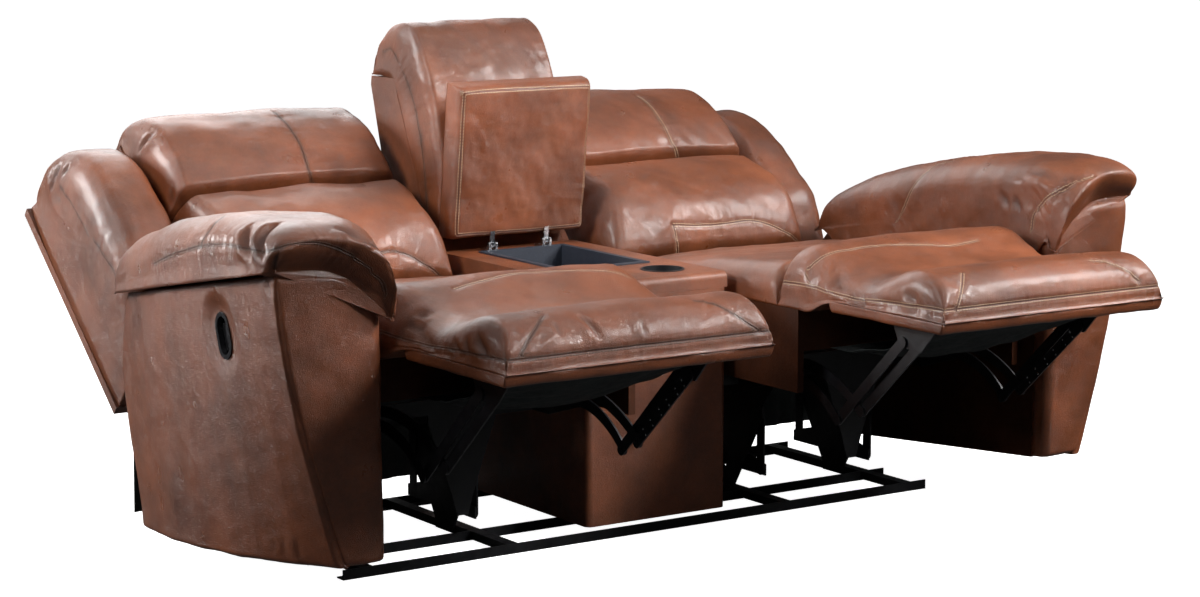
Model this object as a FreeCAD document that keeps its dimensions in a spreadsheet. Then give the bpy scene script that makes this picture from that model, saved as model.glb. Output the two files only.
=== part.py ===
import FreeCAD, Part
import math
import os
from types import SimpleNamespace

import Sketcher

# Double reclining loveseat with a storage console, on a gliding floor frame.
# X runs to the sitter's left seen from the front, Y to the back, Z up. The origin is on the floor,
# midway along the middle cross rail. It is modelled as photographed: both seats reclined, both
# footrests out and the console lid open. Right-hand pieces are built, and the left mirrors them.

Vector = FreeCAD.Vector
SIDE_AXIS = Vector(1, 0, 0)

SIZES = {
    # Floor frame
    "frame_length": (1428, "length of the cross rails"),
    "frame_front": (154, "front rail ahead of the middle rail"),
    "frame_rear": (335, "rear rail behind the middle rail"),
    "rail_depth": (25, "width of a rail"),
    "rail_height": (20, "height of a rail"),
    "rail_wall": (3, "wall of an angle rail"),
    "rail_inner": (336, "inner lengthwise rail from the centre"),
    "rail_outer": (662, "outer lengthwise rail from the centre"),
    # Glide links
    "plate_wall": (4, "thickness of links and mechanism plates"),
    "side_gap": (0.3, "gap between faces that pass each other"),
    "pin_radius": (5, "radius of a pivot pin"),
    "running_gap": (0.05, "radial clearance of a pin in its eye"),
    "glide_eye_gap": (3, "radial clearance of the lower glide eyes"),
    "knee_eye_gap": (1.2, "radial clearance of the footrest knees"),
    "glide_pin_height": (190, "upper glide pins above the floor"),
    "glide_link_length": (125, "glide link between its eyes"),
    "glide_front": (-40, "front glide pins along Y"),
    "glide_back": (200, "rear glide pins along Y"),
    "glide_link_width": (24, "width of a glide link"),
    # Seat mechanism
    "mechanism_centre": (475, "middle of a seat mechanism from the centre"),
    "mechanism_half": (225, "side plate's outer face from the mechanism's middle"),
    "tube_side": (28, "side of a square cross tube"),
    "tube_base": (270, "underside of the cross tubes"),
    "tube_front": (-100, "front face of the front cross tube"),
    "tube_back": (180, "front face of the rear cross tube"),
    "link_width": (22, "width of a footrest link"),
    "lower_front_y": (-247.3, "front lower link's fixed pivot along Y"),
    "lower_front_z": (338.1, "front lower link's fixed pivot height"),
    "lower_rear_y": (-222.3, "rear lower link's fixed pivot along Y"),
    "lower_rear_z": (313.5, "rear lower link's fixed pivot height"),
    "knee_front_y": (-483.4, "front knee along Y"),
    "knee_front_z": (271.9, "front knee height"),
    "knee_rear_y": (-419.6, "rear knee along Y"),
    "knee_rear_z": (245.8, "rear knee height"),
    "upper_front_y": (-652.9, "front upper link's footrest pivot along Y"),
    "upper_front_z": (426.5, "front upper link's footrest pivot height"),
    "upper_rear_y": (-612.4, "rear upper link's footrest pivot along Y"),
    "upper_rear_z": (428.6, "rear upper link's footrest pivot height"),
    "link_rise": (26, "rise of the curved lower links"),
    "drop_front": (196, "front bar of the mechanism ahead of the origin"),
    "drop_wall": (5, "thickness of the front bar and its hanging plate"),
    "drop_bar": (30, "height of the front bar"),
    "drop_top": (336, "top of the front bar"),
    "drop_width": (150, "width of the hanging plate"),
    "drop_height": (232, "height of the hanging plate with its bar"),
    # Seats and footrests
    "seat_inner": (195, "inner side of a seat from the centre"),
    "seat_outer": (775, "outer side of a seat from the centre"),
    "seat_box_front": (370, "seat box ahead of the origin"),
    "seat_box_back": (210, "seat box behind the origin"),
    "seat_box_top": (464.7, "top of the seat box"),
    "seat_board": (15, "thickness of the seat box boards"),
    "seat_apron": (84, "height of the front apron"),
    "seat_deck": (10, "thickness of the seat deck"),
    "soft_gap": (0.3, "gap between a soft piece and its neighbour"),
    "seat_front_height": (548, "height of the cushion top at the front"),
    "seat_split": (300, "joint of seat cushion and knee pad ahead of the origin"),
    "knee_height": (594, "height of the knee pad's crown"),
    "fold_y": (-415.5, "footrest fold axis along Y"),
    "fold_z": (495.5, "footrest fold axis height"),
    "fold_gap": (2.5, "gap at the fold between the pads"),
    "footrest_front": (806, "front of the footrest pad ahead of the origin"),
    "footrest_outer": (757, "outer side of a footrest from the centre"),
    "footrest_board_back": (470, "rear edge of the footrest board ahead of the origin"),
    "footrest_board_wall": (21, "thickness of the footrest board"),
    "footrest_height": (586, "height of the footrest pad's crown"),
    # Backs
    "back_pivot_y": (360, "recline pivot along Y"),
    "back_pivot_z": (460, "recline pivot height"),
    "back_lean": (50.15, "lean of the reclined back from upright, in degrees"),
    "back_depth": (238.7, "rear face of the back behind the pivot"),
    "back_board": (22, "thickness of the back's boards"),
    "back_panel": (20, "thickness of the back's rear panel"),
    "back_frame_front": (50, "front edges of the back's boards behind the pivot"),
    "back_foot": (60, "lower end of the back below the pivot"),
    "back_top": (500, "top of the back's rear panel above the pivot"),
    "wing_outer": (895, "outer side of a wing from the centre"),
    "lumbar_front": (122, "front of the lumbar pad ahead of the pivot"),
    "lumbar_foot": (50, "lower end of the lumbar pad below the pivot"),
    "headrest_front": (76, "front of the headrest ahead of the pivot"),
    "wing_front": (46, "front of a wing ahead of the pivot"),
    "wing_top": (528, "top of a wing above the pivot"),
    "headrest_split": (242, "seam of lumbar pad and headrest above the pivot"),
    "headrest_top": (545, "crown of the headrest above the pivot"),
    "back_ear": (22, "radius of the ears round the recline pivot"),
    # Arms
    "arm_inner": (787, "inner face of an arm from the centre"),
    "arm_core_width": (75, "width of the arm's inner frame"),
    "arm_core_wall": (18, "walls of the arm's inner frame"),
    "arm_front": (450, "front of an arm ahead of the origin"),
    "arm_back": (362, "rear of an arm behind the origin"),
    "arm_top": (645, "height of the pad seam at the front"),
    "arm_foot": (109, "height of the arm's underside at the front"),
    "arm_heel": (50, "height of the arm's underside at the back"),
    "arm_width": (213, "width of the arm at the pad seam"),
    "arm_foot_taper": (26, "how much narrower the arm is at its foot"),
    "arm_front_wall": (44.7, "thickness of the arm's front panel"),
    "arm_side_wall": (42, "thickness of the arm's side panel"),
    "arm_pad_front": (505, "front of the arm pad ahead of the origin"),
    "arm_pad_back": (335, "rear of the arm pad behind the origin"),
    "arm_pad_inner": (778, "inner side of the arm pad from the centre"),
    "arm_pad_outer": (1024, "outer side of the arm pad from the centre"),
    "arm_pad_top": (732, "height of the arm pad's crown"),
    # Release handles
    "handle_y": (-230, "release handle along Y"),
    "handle_z": (506, "release handle height"),
    "handle_sink": (8, "depth of the release handle's face inside the arm's widest outer side"),
    "handle_tilt": (20, "tilt of the release handle, in degrees"),
    "handle_height": (86, "height of the handle bezel"),
    "handle_width": (52, "width of the handle bezel"),
    "handle_rim": (6, "rim of the handle bezel"),
    "handle_flange": (3, "thickness of the handle flange"),
    "handle_depth": (26, "depth of the handle cup"),
    "handle_wall": (2, "wall of the handle cup"),
    "lever_wall": (5, "thickness of the release lever"),
    "lever_stem": (48.8, "length of the release lever's pivot"),
    "lever_width": (24, "width of the release lever"),
    # Console
    "console_half": (170, "half width of the console"),
    "console_front": (167, "front of the console ahead of the origin"),
    "console_back": (400, "rear of the console behind the origin"),
    "console_foot": (32, "underside of the console"),
    "console_wall": (18, "walls of the console"),
    "console_corner": (14, "radius of the console's front edges"),
    "deck_top": (520, "top of the console deck"),
    "deck_wall": (32, "thickness of the console deck"),
    "bin_half": (94, "half width inside the storage bin"),
    "bin_front": (30, "front wall of the bin inside"),
    "bin_back": (330, "rear wall of the bin inside"),
    "bin_floor": (300, "floor of the storage bin"),
    "bin_wall": (3, "wall of the storage bin"),
    "bin_rim": (10, "overhang and height of the bin's rim"),
    "cup_radius": (41, "inside radius of a cup holder"),
    "cup_offset": (78, "cup holders from the centre"),
    "cup_place": (70, "cup holders ahead of the origin"),
    "cup_depth": (75, "depth of a cup holder"),
    "cup_wall": (1.5, "wall of a cup holder"),
    "cup_rim": (4, "rim of a cup holder"),
    "lid_length": (330, "length of the lid from its hinge end"),
    "lid_wall": (54, "thickness of the lid"),
    "lid_half": (168, "half width of the lid"),
    "lid_corner": (18, "radius of the lid's edges"),
    "lid_axis_y": (352, "lid hinge axis along Y"),
    "lid_axis_z": (533, "lid hinge axis height"),
    "lid_gap": (14, "rear edge of the lid ahead of its hinge axis when shut"),
    "lid_rise": (2.6, "lid's underside above its hinge axis when shut"),
    "lid_open": (83, "opening angle of the lid, in degrees"),
    "hinge_offset": (68, "lid hinges from the centre"),
    "hinge_width": (22, "width of a lid hinge"),
    "hinge_wall": (3, "plate of a lid hinge"),
    "hinge_barrel": (5, "radius of a lid hinge barrel"),
    "hinge_pin": (2.5, "radius of a lid hinge pin"),
    "console_crown": (1000, "crown of the console's back cushion"),
    "console_lean": (290, "console back's rear edge behind its foot"),
    "pad_round": (26, "rounding at the sides of the pads"),
    "pad_crown": (8, "crown of footrests, wings and console cushion across their width"),
    "seat_crown": (10, "crown of a seat across its width"),
    "back_crown": (12, "crown of a back across its width"),
    "overrun": (5, "overrun of cuts"),
}

doc = FreeCAD.newDocument("ReclinerLoveseat")
sheet = doc.addObject("Spreadsheet::Sheet", "Sizes")
for row, (alias, (value, meaning)) in enumerate(SIZES.items(), start=1):
    sheet.set("A%d" % row, meaning)
    sheet.set("B%d" % row, str(value))
    sheet.setAlias("B%d" % row, alias)
doc.recompute()

PIECES = {}


class Measure:
    """A length that knows its value and the formula on the sheet that gives it."""

    def __init__(self, value, text):
        self.value = value
        self.text = text

    def join(self, other, sign, value):
        return Measure(value, "(%s %s %s)" % (self.text, sign, measured(other).text))

    def __add__(self, other):
        return self.join(other, "+", self.value + measured(other).value)

    def __sub__(self, other):
        return self.join(other, "-", self.value - measured(other).value)

    def __mul__(self, other):
        return self.join(other, "*", self.value * measured(other).value)

    def __truediv__(self, other):
        return self.join(other, "/", self.value / measured(other).value)

    def __neg__(self):
        return Measure(-self.value, "(0 - %s)" % self.text)


def measured(value):
    return value if isinstance(value, Measure) else Measure(float(value), repr(float(value)))


cell = SimpleNamespace(**{alias: Measure(float(getattr(sheet, alias)), "Sizes." + alias) for alias in SIZES})
mm = SimpleNamespace(**{alias: float(getattr(sheet, alias)) for alias in SIZES})
ZERO = Measure(0.0, "0")


def keep(piece, label):
    """List a finished sub-part under the name of its file."""
    piece.Label = label
    PIECES[label] = piece
    return piece


def turned(y, z, degrees, x=0):
    """Placement at a point, turned about an axis along X."""
    return FreeCAD.Placement(Vector(x, y, z), FreeCAD.Rotation(SIDE_AXIS, degrees))


def mirrored(label):
    """The left-hand twin of a right-hand piece."""
    twin = doc.addObject("Part::Mirroring", label + "_left")
    twin.Source = PIECES[label + "_right"]
    twin.Base = Vector(0, 0, 0)
    twin.Normal = SIDE_AXIS
    return keep(twin, label + "_left")


def origin_plane(body, role):
    for feature in body.Origin.OriginFeatures:
        if feature.Role == role:
            return feature
    raise ValueError(role)


def new_sketch(body, role, offset, name):
    """Sketch on one of the body's own planes, moved along the plane's normal."""
    sketch = body.newObject("Sketcher::SketchObject", name)
    sketch.AttachmentSupport = (origin_plane(body, role), [""])
    sketch.MapMode = "FlatFace"
    sketch.setExpression("AttachmentOffset.Base.z", measured(offset).text)
    return sketch


def pin_point(sketch, geometry, point, across, up):
    """Fix a sketch point by two formulas on the sheet."""
    for kind, formula in (("DistanceX", across), ("DistanceY", up)):
        formula = measured(formula)
        here = sketch.addConstraint(Sketcher.Constraint(kind, -1, 1, geometry, point, formula.value))
        sketch.setExpression("Constraints[%d]" % here, formula.text)


def draw_polygon(sketch, corners):
    """Closed outline whose corners follow the sheet."""
    points = [Vector(measured(a).value, measured(b).value, 0) for a, b in corners]
    first = sketch.GeometryCount
    count = len(points)
    for index in range(count):
        sketch.addGeometry(Part.LineSegment(points[index], points[(index + 1) % count]), False)
    for index in range(count):
        following = first + (index + 1) % count
        sketch.addConstraint(Sketcher.Constraint("Coincident", first + index, 2, following, 1))
    for index, (across, up) in enumerate(corners):
        pin_point(sketch, first + index, 1, across, up)


def draw_circle(sketch, across, up, radius):
    across, up, radius = measured(across), measured(up), measured(radius)
    circle = Part.Circle(Vector(across.value, up.value, 0), Vector(0, 0, 1), radius.value)
    here = sketch.addGeometry(circle, False)
    pin_point(sketch, here, 3, across, up)
    rule = sketch.addConstraint(Sketcher.Constraint("Radius", here, radius.value))
    sketch.setExpression("Constraints[%d]" % rule, radius.text)


def add_pad(body, sketch, length, name):
    pad = body.newObject("PartDesign::Pad", name)
    pad.Profile = sketch
    pad.setExpression("Length", measured(length).text)
    body.Tip = pad
    return pad


def add_pocket(body, sketch, length, name, reverse=False):
    """Cut from a sketch. The depth is measured from the sketch, against its normal."""
    pocket = body.newObject("PartDesign::Pocket", name)
    pocket.Profile = sketch
    pocket.Reversed = reverse
    pocket.setExpression("Length", measured(length).text)
    body.Tip = pocket
    return pocket


def plate(name, role, offset, length, corners, holes=()):
    """Flat or prismatic piece: a polygon with round holes, padded along its plane's normal."""
    body = doc.addObject("PartDesign::Body", name)
    sketch = new_sketch(body, role, offset, name + "_outline")
    draw_polygon(sketch, corners)
    for across, up, radius in holes:
        draw_circle(sketch, across, up, radius)
    add_pad(body, sketch, length, name + "_pad")
    return body


def box(name, x, y, z, wide, deep, high):
    """Box whose sides and place follow the sheet."""
    piece = doc.addObject("Part::Box", name)
    for setting, formula in (("Length", wide), ("Width", deep), ("Height", high)):
        piece.setExpression(setting, measured(formula).text)
    for axis, formula in (("x", x), ("y", y), ("z", z)):
        piece.setExpression("Placement.Base." + axis, measured(formula).text)
    return piece


def pin_across(name, x, y, z, length, radius):
    """Round pin or bore along X."""
    pin = doc.addObject("Part::Cylinder", name)
    pin.Placement = FreeCAD.Placement(Vector(0, 0, 0), FreeCAD.Rotation(Vector(0, 1, 0), 90))
    for axis, formula in (("x", x), ("y", y), ("z", z)):
        pin.setExpression("Placement.Base." + axis, measured(formula).text)
    pin.setExpression("Height", measured(length).text)
    pin.setExpression("Radius", measured(radius).text)
    return pin


def fused(name, parts):
    piece = doc.addObject("Part::MultiFuse", name)
    piece.Shapes = parts
    return piece


def cut(name, base, tools):
    """Cut one or more tools out of a piece."""
    piece = doc.addObject("Part::Cut", name)
    piece.Base = base
    piece.Tool = tools[0] if len(tools) == 1 else fused(name + "_tools", tools)
    return piece


def set_apart(name, parts):
    """Group of solids that move together but don't touch."""
    piece = doc.addObject("Part::Compound", name)
    piece.Links = parts
    return piece


def shaped(name, shape, placement=None):
    """Piece whose form is worked out from the sheet's values."""
    piece = doc.addObject("Part::Feature", name)
    piece.Shape = shape
    if placement is not None:
        piece.Placement = placement
    return piece


def edge_line(start, end, bulge, axis):
    """Straight or arched edge: the bulge is the arch's outward rise as a share of its chord."""
    if abs(bulge) < 1e-6:
        return Part.LineSegment(start, end).toShape()
    chord = end - start
    outward = chord.cross(axis).normalize()
    middle = (start + end) * 0.5 + outward * (chord.Length * bulge)
    return Part.Arc(start, middle, end).toShape()


def outline_wire(points, bulges, axis=SIDE_AXIS):
    """Closed outline, drawn anticlockwise about the axis that it faces."""
    count = len(points)
    edges = [edge_line(points[k], points[(k + 1) % count], bulges[k], axis) for k in range(count)]
    return Part.Wire(edges)


def spread(rows, start_y, depth, start_z, height):
    """Turn an outline of shares into one of lengths."""
    return [(start_y + y * depth, start_z + z * height, bulge, share) for y, z, bulge, share in rows]


def drawn_in(rows, wall):
    """Outline moved inwards by a wall, each edge square to itself."""
    count = len(rows)
    moved = []
    for k, (y, z, bulge, share) in enumerate(rows):
        before, after = rows[k - 1], rows[(k + 1) % count]
        first = Vector(y - before[0], z - before[1], 0).normalize()
        last = Vector(after[0] - y, after[1] - z, 0).normalize()
        inward = Vector(-first.y - last.y, first.x + last.x, 0)
        inward = inward * (wall / (1 + first.dot(last)))
        moved.append((y + inward.x, z + inward.y, bulge, share))
    return moved


def side_prism(profile, start, end):
    """Solid along X between two places, with a (y, z, bulge, ...) profile."""
    points = [Vector(start, row[0], row[1]) for row in profile]
    face = Part.Face(outline_wire(points, [row[2] for row in profile]))
    return face.extrude(SIDE_AXIS * (end - start))


def side_pad(profile, stations, crown_way):
    """Padded form lofted along X. The profile has (y, z, bulge, crown share) rows.

    A station is (x, inset, crown): the inset draws the points with a crown share in towards the
    outline's middle, and the crown moves them along crown_way, in proportion to that share.
    """
    across = [row[0] for row in profile]
    heights = [row[1] for row in profile]
    middle_y = (min(across) + max(across)) / 2
    middle_z = (min(heights) + max(heights)) / 2
    half_y = (max(across) - min(across)) / 2
    half_z = (max(heights) - min(heights)) / 2
    wires = []
    for x, inset, crown in stations:
        points = []
        for y, z, bulge, lift in profile:
            moved = inset if lift else 0
            share_y = 1 - moved / half_y
            share_z = 1 - moved / half_z
            here = Vector(x, middle_y + (y - middle_y) * share_y, middle_z + (z - middle_z) * share_z)
            points.append(here + crown_way * (crown * lift))
        wires.append(outline_wire(points, [row[2] for row in profile]))
    return Part.makeLoft(wires, True, True)


def pad_stations(start, end, rounding, crown):
    """Stations of a pad with drawn-in, rounded sides and a crowned middle."""
    sides = [(0, 0.55, 0), (rounding * 0.35, 0.2, 0.25), (rounding * 1.2, 0, 0.6),
             ((end - start) / 4, 0, 0.9)]
    near_side = [(start + run, rounding * inset, crown * rise) for run, inset, rise in sides]
    far_side = [(end - run, rounding * inset, crown * rise) for run, inset, rise in reversed(sides)]
    return near_side + [((start + end) / 2, 0, crown)] + far_side


# Floor frame: angle rails across and lengthwise tubes with the glide brackets welded on

def angle_rail(name, face_y, inward):
    """Angle iron along X: one leg flat on the floor and one upright at the outer face."""
    far_y = face_y + cell.rail_depth * inward
    web_y = face_y + cell.rail_wall * inward
    corners = [
        (face_y, ZERO),
        (far_y, ZERO),
        (far_y, cell.rail_wall),
        (web_y, cell.rail_wall),
        (web_y, cell.rail_height),
        (face_y, cell.rail_height),
    ]
    return plate(name, "YZ_Plane", cell.frame_length * -0.5, cell.frame_length, corners)


def floor_frame():
    keep(angle_rail("front_rail", cell.frame_front * -1, 1), "base_front_rail")
    keep(angle_rail("rear_rail", cell.frame_rear * 1, -1), "base_rear_rail")
    middle = angle_rail("middle_rail_blank", cell.rail_depth * -0.5, 1)
    notches = []
    for side in (-1, 1):
        for place in (cell.rail_inner, cell.rail_outer):
            start = place * side - cell.rail_depth / 2 - cell.side_gap
            notches.append(box("notch_%d" % len(notches), start, cell.rail_depth * -1, cell.rail_wall,
                               cell.rail_depth + cell.side_gap * 2, cell.rail_depth * 2,
                               cell.rail_height))
    keep(cut("middle_rail", middle, notches), "base_middle_rail")
    keep(fused("rails_right", lengthwise_rail(cell.rail_inner, 1, "inner")
               + lengthwise_rail(cell.rail_outer, -1, "outer")), "base_rails_right")
    mirrored("base_rails")


def lengthwise_rail(place, side, name):
    """Tube resting on the cross rails, a V bracket beside it and its two upper glide pins."""
    tube = box("rail_" + name, place - cell.rail_depth / 2,
               cell.rail_wall - cell.frame_front, cell.rail_wall, cell.rail_depth,
               cell.frame_front + cell.frame_rear - cell.rail_wall * 2, cell.rail_height - cell.rail_wall)
    face = place + cell.rail_depth / 2 * side
    start = face if side > 0 else face - cell.plate_wall
    ear = cell.glide_link_width / 2
    middle = (cell.glide_front + cell.glide_back) / 2
    corners = [
        (middle - ear * 3, cell.rail_wall),
        (middle + ear * 3, cell.rail_wall),
        (middle + ear * 3, cell.rail_height),
        (cell.glide_back + ear, cell.glide_pin_height - ear),
        (cell.glide_back + ear, cell.glide_pin_height + ear),
        (cell.glide_back - ear, cell.glide_pin_height + ear),
        (middle, cell.rail_height * 2.4),
        (cell.glide_front + ear, cell.glide_pin_height + ear),
        (cell.glide_front - ear, cell.glide_pin_height + ear),
        (cell.glide_front - ear, cell.glide_pin_height - ear),
        (middle - ear * 3, cell.rail_height),
    ]
    bracket = plate("glide_bracket_" + name, "YZ_Plane", start, cell.plate_wall, corners)
    length = cell.plate_wall * 2 + cell.side_gap
    pin_start = start if side > 0 else start + cell.plate_wall - length
    pins = [pin_across("glide_pin_%s_%d" % (name, index), pin_start, y, cell.glide_pin_height, length,
                       cell.pin_radius)
            for index, y in enumerate((cell.glide_front, cell.glide_back))]
    return [tube, bracket] + pins


def eyed_link(name, layer_x, length, width, eyes, placement, rise=ZERO):
    """Flat link that hangs from the origin before it is placed. The rise bows it sideways.

    The eyes are (distance down the link, radius) pairs of its bores.
    """
    body = doc.addObject("PartDesign::Body", name)
    sketch = new_sketch(body, "YZ_Plane", layer_x, name + "_outline")
    half = width / 2
    wide, down, bow = half.value, -length.value, rise.value
    corners = [Vector(-wide, 0, 0), Vector(-wide, down, 0), Vector(wide, down, 0), Vector(wide, 0, 0)]
    if bow:
        sketch.addGeometry(Part.Arc(corners[0], Vector(-wide - bow, down / 2, 0), corners[1]), False)
    else:
        sketch.addGeometry(Part.LineSegment(corners[0], corners[1]), False)
    sketch.addGeometry(Part.Arc(corners[1], Vector(0, down - wide, 0), corners[2]), False)
    if bow:
        sketch.addGeometry(Part.Arc(corners[2], Vector(wide - bow, down / 2, 0), corners[3]), False)
    else:
        sketch.addGeometry(Part.LineSegment(corners[2], corners[3]), False)
    sketch.addGeometry(Part.Arc(corners[3], Vector(0, wide, 0), corners[0]), False)
    places = [(half * -1, ZERO), (half * -1, length * -1), (half, length * -1), (half, ZERO)]
    for corner, place in zip(corners, places):
        ends = []
        for index in range(4):
            for end in (1, 2):
                if (sketch.getPoint(index, end) - corner).Length < 1e-6:
                    ends.append((index, end))
        sketch.addConstraint(Sketcher.Constraint("Coincident", *ends[0], *ends[1]))
        pin_point(sketch, ends[0][0], ends[0][1], *place)
    for index, height in ((1, length * -1), (3, ZERO)):
        rule = sketch.addConstraint(Sketcher.Constraint("DistanceY", -1, 1, index, 3, height.value))
        sketch.setExpression("Constraints[%d]" % rule, height.text)
    if bow:
        radius = length * length / (rise * 8) + rise / 2
        for index in (0, 2):
            rule = sketch.addConstraint(Sketcher.Constraint("Radius", index, radius.value))
            sketch.setExpression("Constraints[%d]" % rule, radius.text)
    for drop, radius in eyes:
        draw_circle(sketch, ZERO, drop * -1, radius)
    add_pad(body, sketch, cell.plate_wall, name + "_pad")
    body.Placement = placement
    return body


def hang_from(start_y, start_z, end_y, end_z):
    """Placement that takes a hanging link from one pivot to another."""
    swing = math.degrees(math.atan2(end_y - start_y, start_z - end_z))
    return turned(start_y, start_z, swing)


def glide_links():
    """Links between the frame's upper glide pins and the body's lower ones."""
    eyes = [(ZERO, cell.pin_radius + cell.running_gap),
            (cell.glide_link_length, cell.pin_radius + cell.glide_eye_gap)]
    inner = cell.rail_inner + cell.rail_depth / 2 + cell.plate_wall + cell.side_gap
    outer = cell.rail_outer - cell.rail_depth / 2 - cell.plate_wall * 2 - cell.side_gap
    for place, y in (("front", mm.glide_front), ("rear", mm.glide_back)):
        links = []
        for side, layer in (("inner", inner), ("outer", outer)):
            name = "glide_link_%s_%s" % (place, side)
            link = eyed_link(name, layer, cell.glide_link_length, cell.glide_link_width, eyes,
                             turned(y, mm.glide_pin_height, 0))
            twin = doc.addObject("Part::Mirroring", name + "_left")
            twin.Source = link
            twin.Normal = SIDE_AXIS
            links += [link, twin]
        keep(set_apart("glide_links_" + place, links), "glide_links_" + place)


def layer_start(layer, side):
    """Lower X face of a plate layer, counted from a side plate towards the seat's middle."""
    step = (cell.plate_wall + cell.side_gap) * layer
    if side < 0:
        return cell.mechanism_centre - cell.mechanism_half + step
    return cell.mechanism_centre + cell.mechanism_half - step - cell.plate_wall


def layer_pin(name, first, last, side, y, z):
    """Pin through the layers from first to last."""
    start = layer_start(first if side < 0 else last, side)
    length = cell.plate_wall * (last - first + 1) + cell.side_gap * (last - first)
    return pin_across(name, start, y, z, length, cell.pin_radius)


LINK_LAYERS = {"lower_rear": 1, "upper_rear": 2, "lower_front": 3, "upper_front": 4}
BRACKET_LAYER = 3
SIDES = (("inner", -1), ("outer", 1))


def link_length(first_y, first_z, last_y, last_z):
    across = last_y - first_y
    up = last_z - first_z
    return Measure(math.hypot(across.value, up.value), "sqrt(%s)" % (across * across + up * up).text)


def footrest_links():
    """Four links at each side of a seat: two curved lower ones and two straight upper ones."""
    for place in ("front", "rear"):
        low_y = getattr(cell, "lower_%s_y" % place)
        low_z = getattr(cell, "lower_%s_z" % place)
        knee_y = getattr(cell, "knee_%s_y" % place)
        knee_z = getattr(cell, "knee_%s_z" % place)
        high_y = getattr(cell, "upper_%s_y" % place)
        high_z = getattr(cell, "upper_%s_z" % place)
        low_length = link_length(low_y, low_z, knee_y, knee_z)
        high_length = link_length(high_y, high_z, knee_y, knee_z)
        lowers = []
        uppers = []
        for side_name, side in SIDES:
            low_layer = LINK_LAYERS["lower_" + place]
            high_layer = LINK_LAYERS["upper_" + place]
            name = "lower_%s_%s" % (place, side_name)
            low = eyed_link(name, layer_start(low_layer, side), low_length, cell.link_width,
                            [(ZERO, cell.pin_radius + cell.running_gap)],
                            hang_from(low_y.value, low_z.value, knee_y.value, knee_z.value),
                            cell.link_rise)
            knee = layer_pin(name + "_knee", low_layer, high_layer, side, knee_y, knee_z)
            lowers.append(fused(name + "_with_pin", [low, knee]))
            name = "upper_%s_%s" % (place, side_name)
            uppers.append(eyed_link(name, layer_start(high_layer, side), high_length, cell.link_width,
                                    [(ZERO, cell.pin_radius + cell.running_gap),
                                     (high_length, cell.pin_radius + cell.knee_eye_gap)],
                                    hang_from(high_y.value, high_z.value, knee_y.value, knee_z.value)))
        for level, parts in (("lower", lowers), ("upper", uppers)):
            label = "link_%s_%s" % (level, place)
            keep(set_apart(label, parts), label + "_right")
            mirrored(label)


def seat_mechanism():
    """Side plates with the footrest and recline pivots, cross tubes and glide plates."""
    parts = []
    top = cell.tube_base + cell.tube_side
    ear = cell.back_ear
    corners = [
        (cell.lower_front_y - cell.link_width, cell.lower_front_z + cell.link_width),
        (cell.lower_front_y - cell.link_width, cell.lower_rear_z - cell.link_width / 2),
        (cell.tube_front - cell.tube_side * 2, cell.tube_base),
        (cell.back_pivot_y - ear * 2, cell.tube_base),
        (cell.back_pivot_y + ear, cell.back_pivot_z - ear),
        (cell.back_pivot_y + ear, cell.back_pivot_z + ear * 0.4),
        (cell.back_pivot_y + ear * 0.4, cell.back_pivot_z + ear),
        (cell.back_pivot_y - ear * 0.4, cell.back_pivot_z + ear),
        (cell.back_pivot_y - ear, cell.back_pivot_z + ear * 0.4),
        (cell.back_pivot_y - ear, cell.back_pivot_z - ear),
        (cell.tube_back + cell.tube_side, top + ear * 2),
        (cell.tube_front, cell.lower_front_z + cell.link_width),
    ]
    bore = (cell.back_pivot_y, cell.back_pivot_z, cell.pin_radius + cell.running_gap)
    for side_name, side in SIDES:
        parts.append(plate("side_plate_" + side_name, "YZ_Plane", layer_start(0, side), cell.plate_wall,
                           corners, [bore]))
        parts.append(layer_pin("front_pivot_" + side_name, 0, LINK_LAYERS["lower_front"], side,
                               cell.lower_front_y, cell.lower_front_z))
        parts.append(layer_pin("rear_pivot_" + side_name, 0, LINK_LAYERS["lower_rear"], side,
                               cell.lower_rear_y, cell.lower_rear_z))
    start = cell.console_half + cell.side_gap
    for name, y in (("front", cell.tube_front), ("rear", cell.tube_back)):
        parts.append(box("cross_tube_" + name, start, y, cell.tube_base,
                         cell.arm_inner - cell.side_gap - start, cell.tube_side, cell.tube_side))
    parts += glide_plates()
    parts += centre_drop()
    keep(fused("mechanism", parts), "mechanism_right")
    mirrored("mechanism")


def centre_drop():
    """Flat bar between the side plates and the pointed plate that hangs from its middle."""
    bar_front = cell.drop_front * -1
    left = cell.mechanism_centre - cell.mechanism_half
    bar = box("front_bar", left, bar_front, cell.drop_top - cell.drop_bar, cell.mechanism_half * 2,
              cell.drop_wall, cell.drop_bar)
    half = cell.drop_width / 2
    low = cell.drop_top - cell.drop_height
    corners = [(cell.mechanism_centre + half * across, low + cell.drop_height * up)
               for across, up in DROP_SHARES]
    offset = bar_front + cell.drop_wall
    hanging = plate("centre_drop", "XZ_Plane", offset * -1, cell.drop_wall, corners)
    return [bar, hanging]


DROP_SHARES = [(-0.16, 0), (0.16, 0), (0.34, 0.20), (1, 0.80), (1, 1), (-1, 1), (-1, 0.80), (-0.34, 0.20)]


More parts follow.
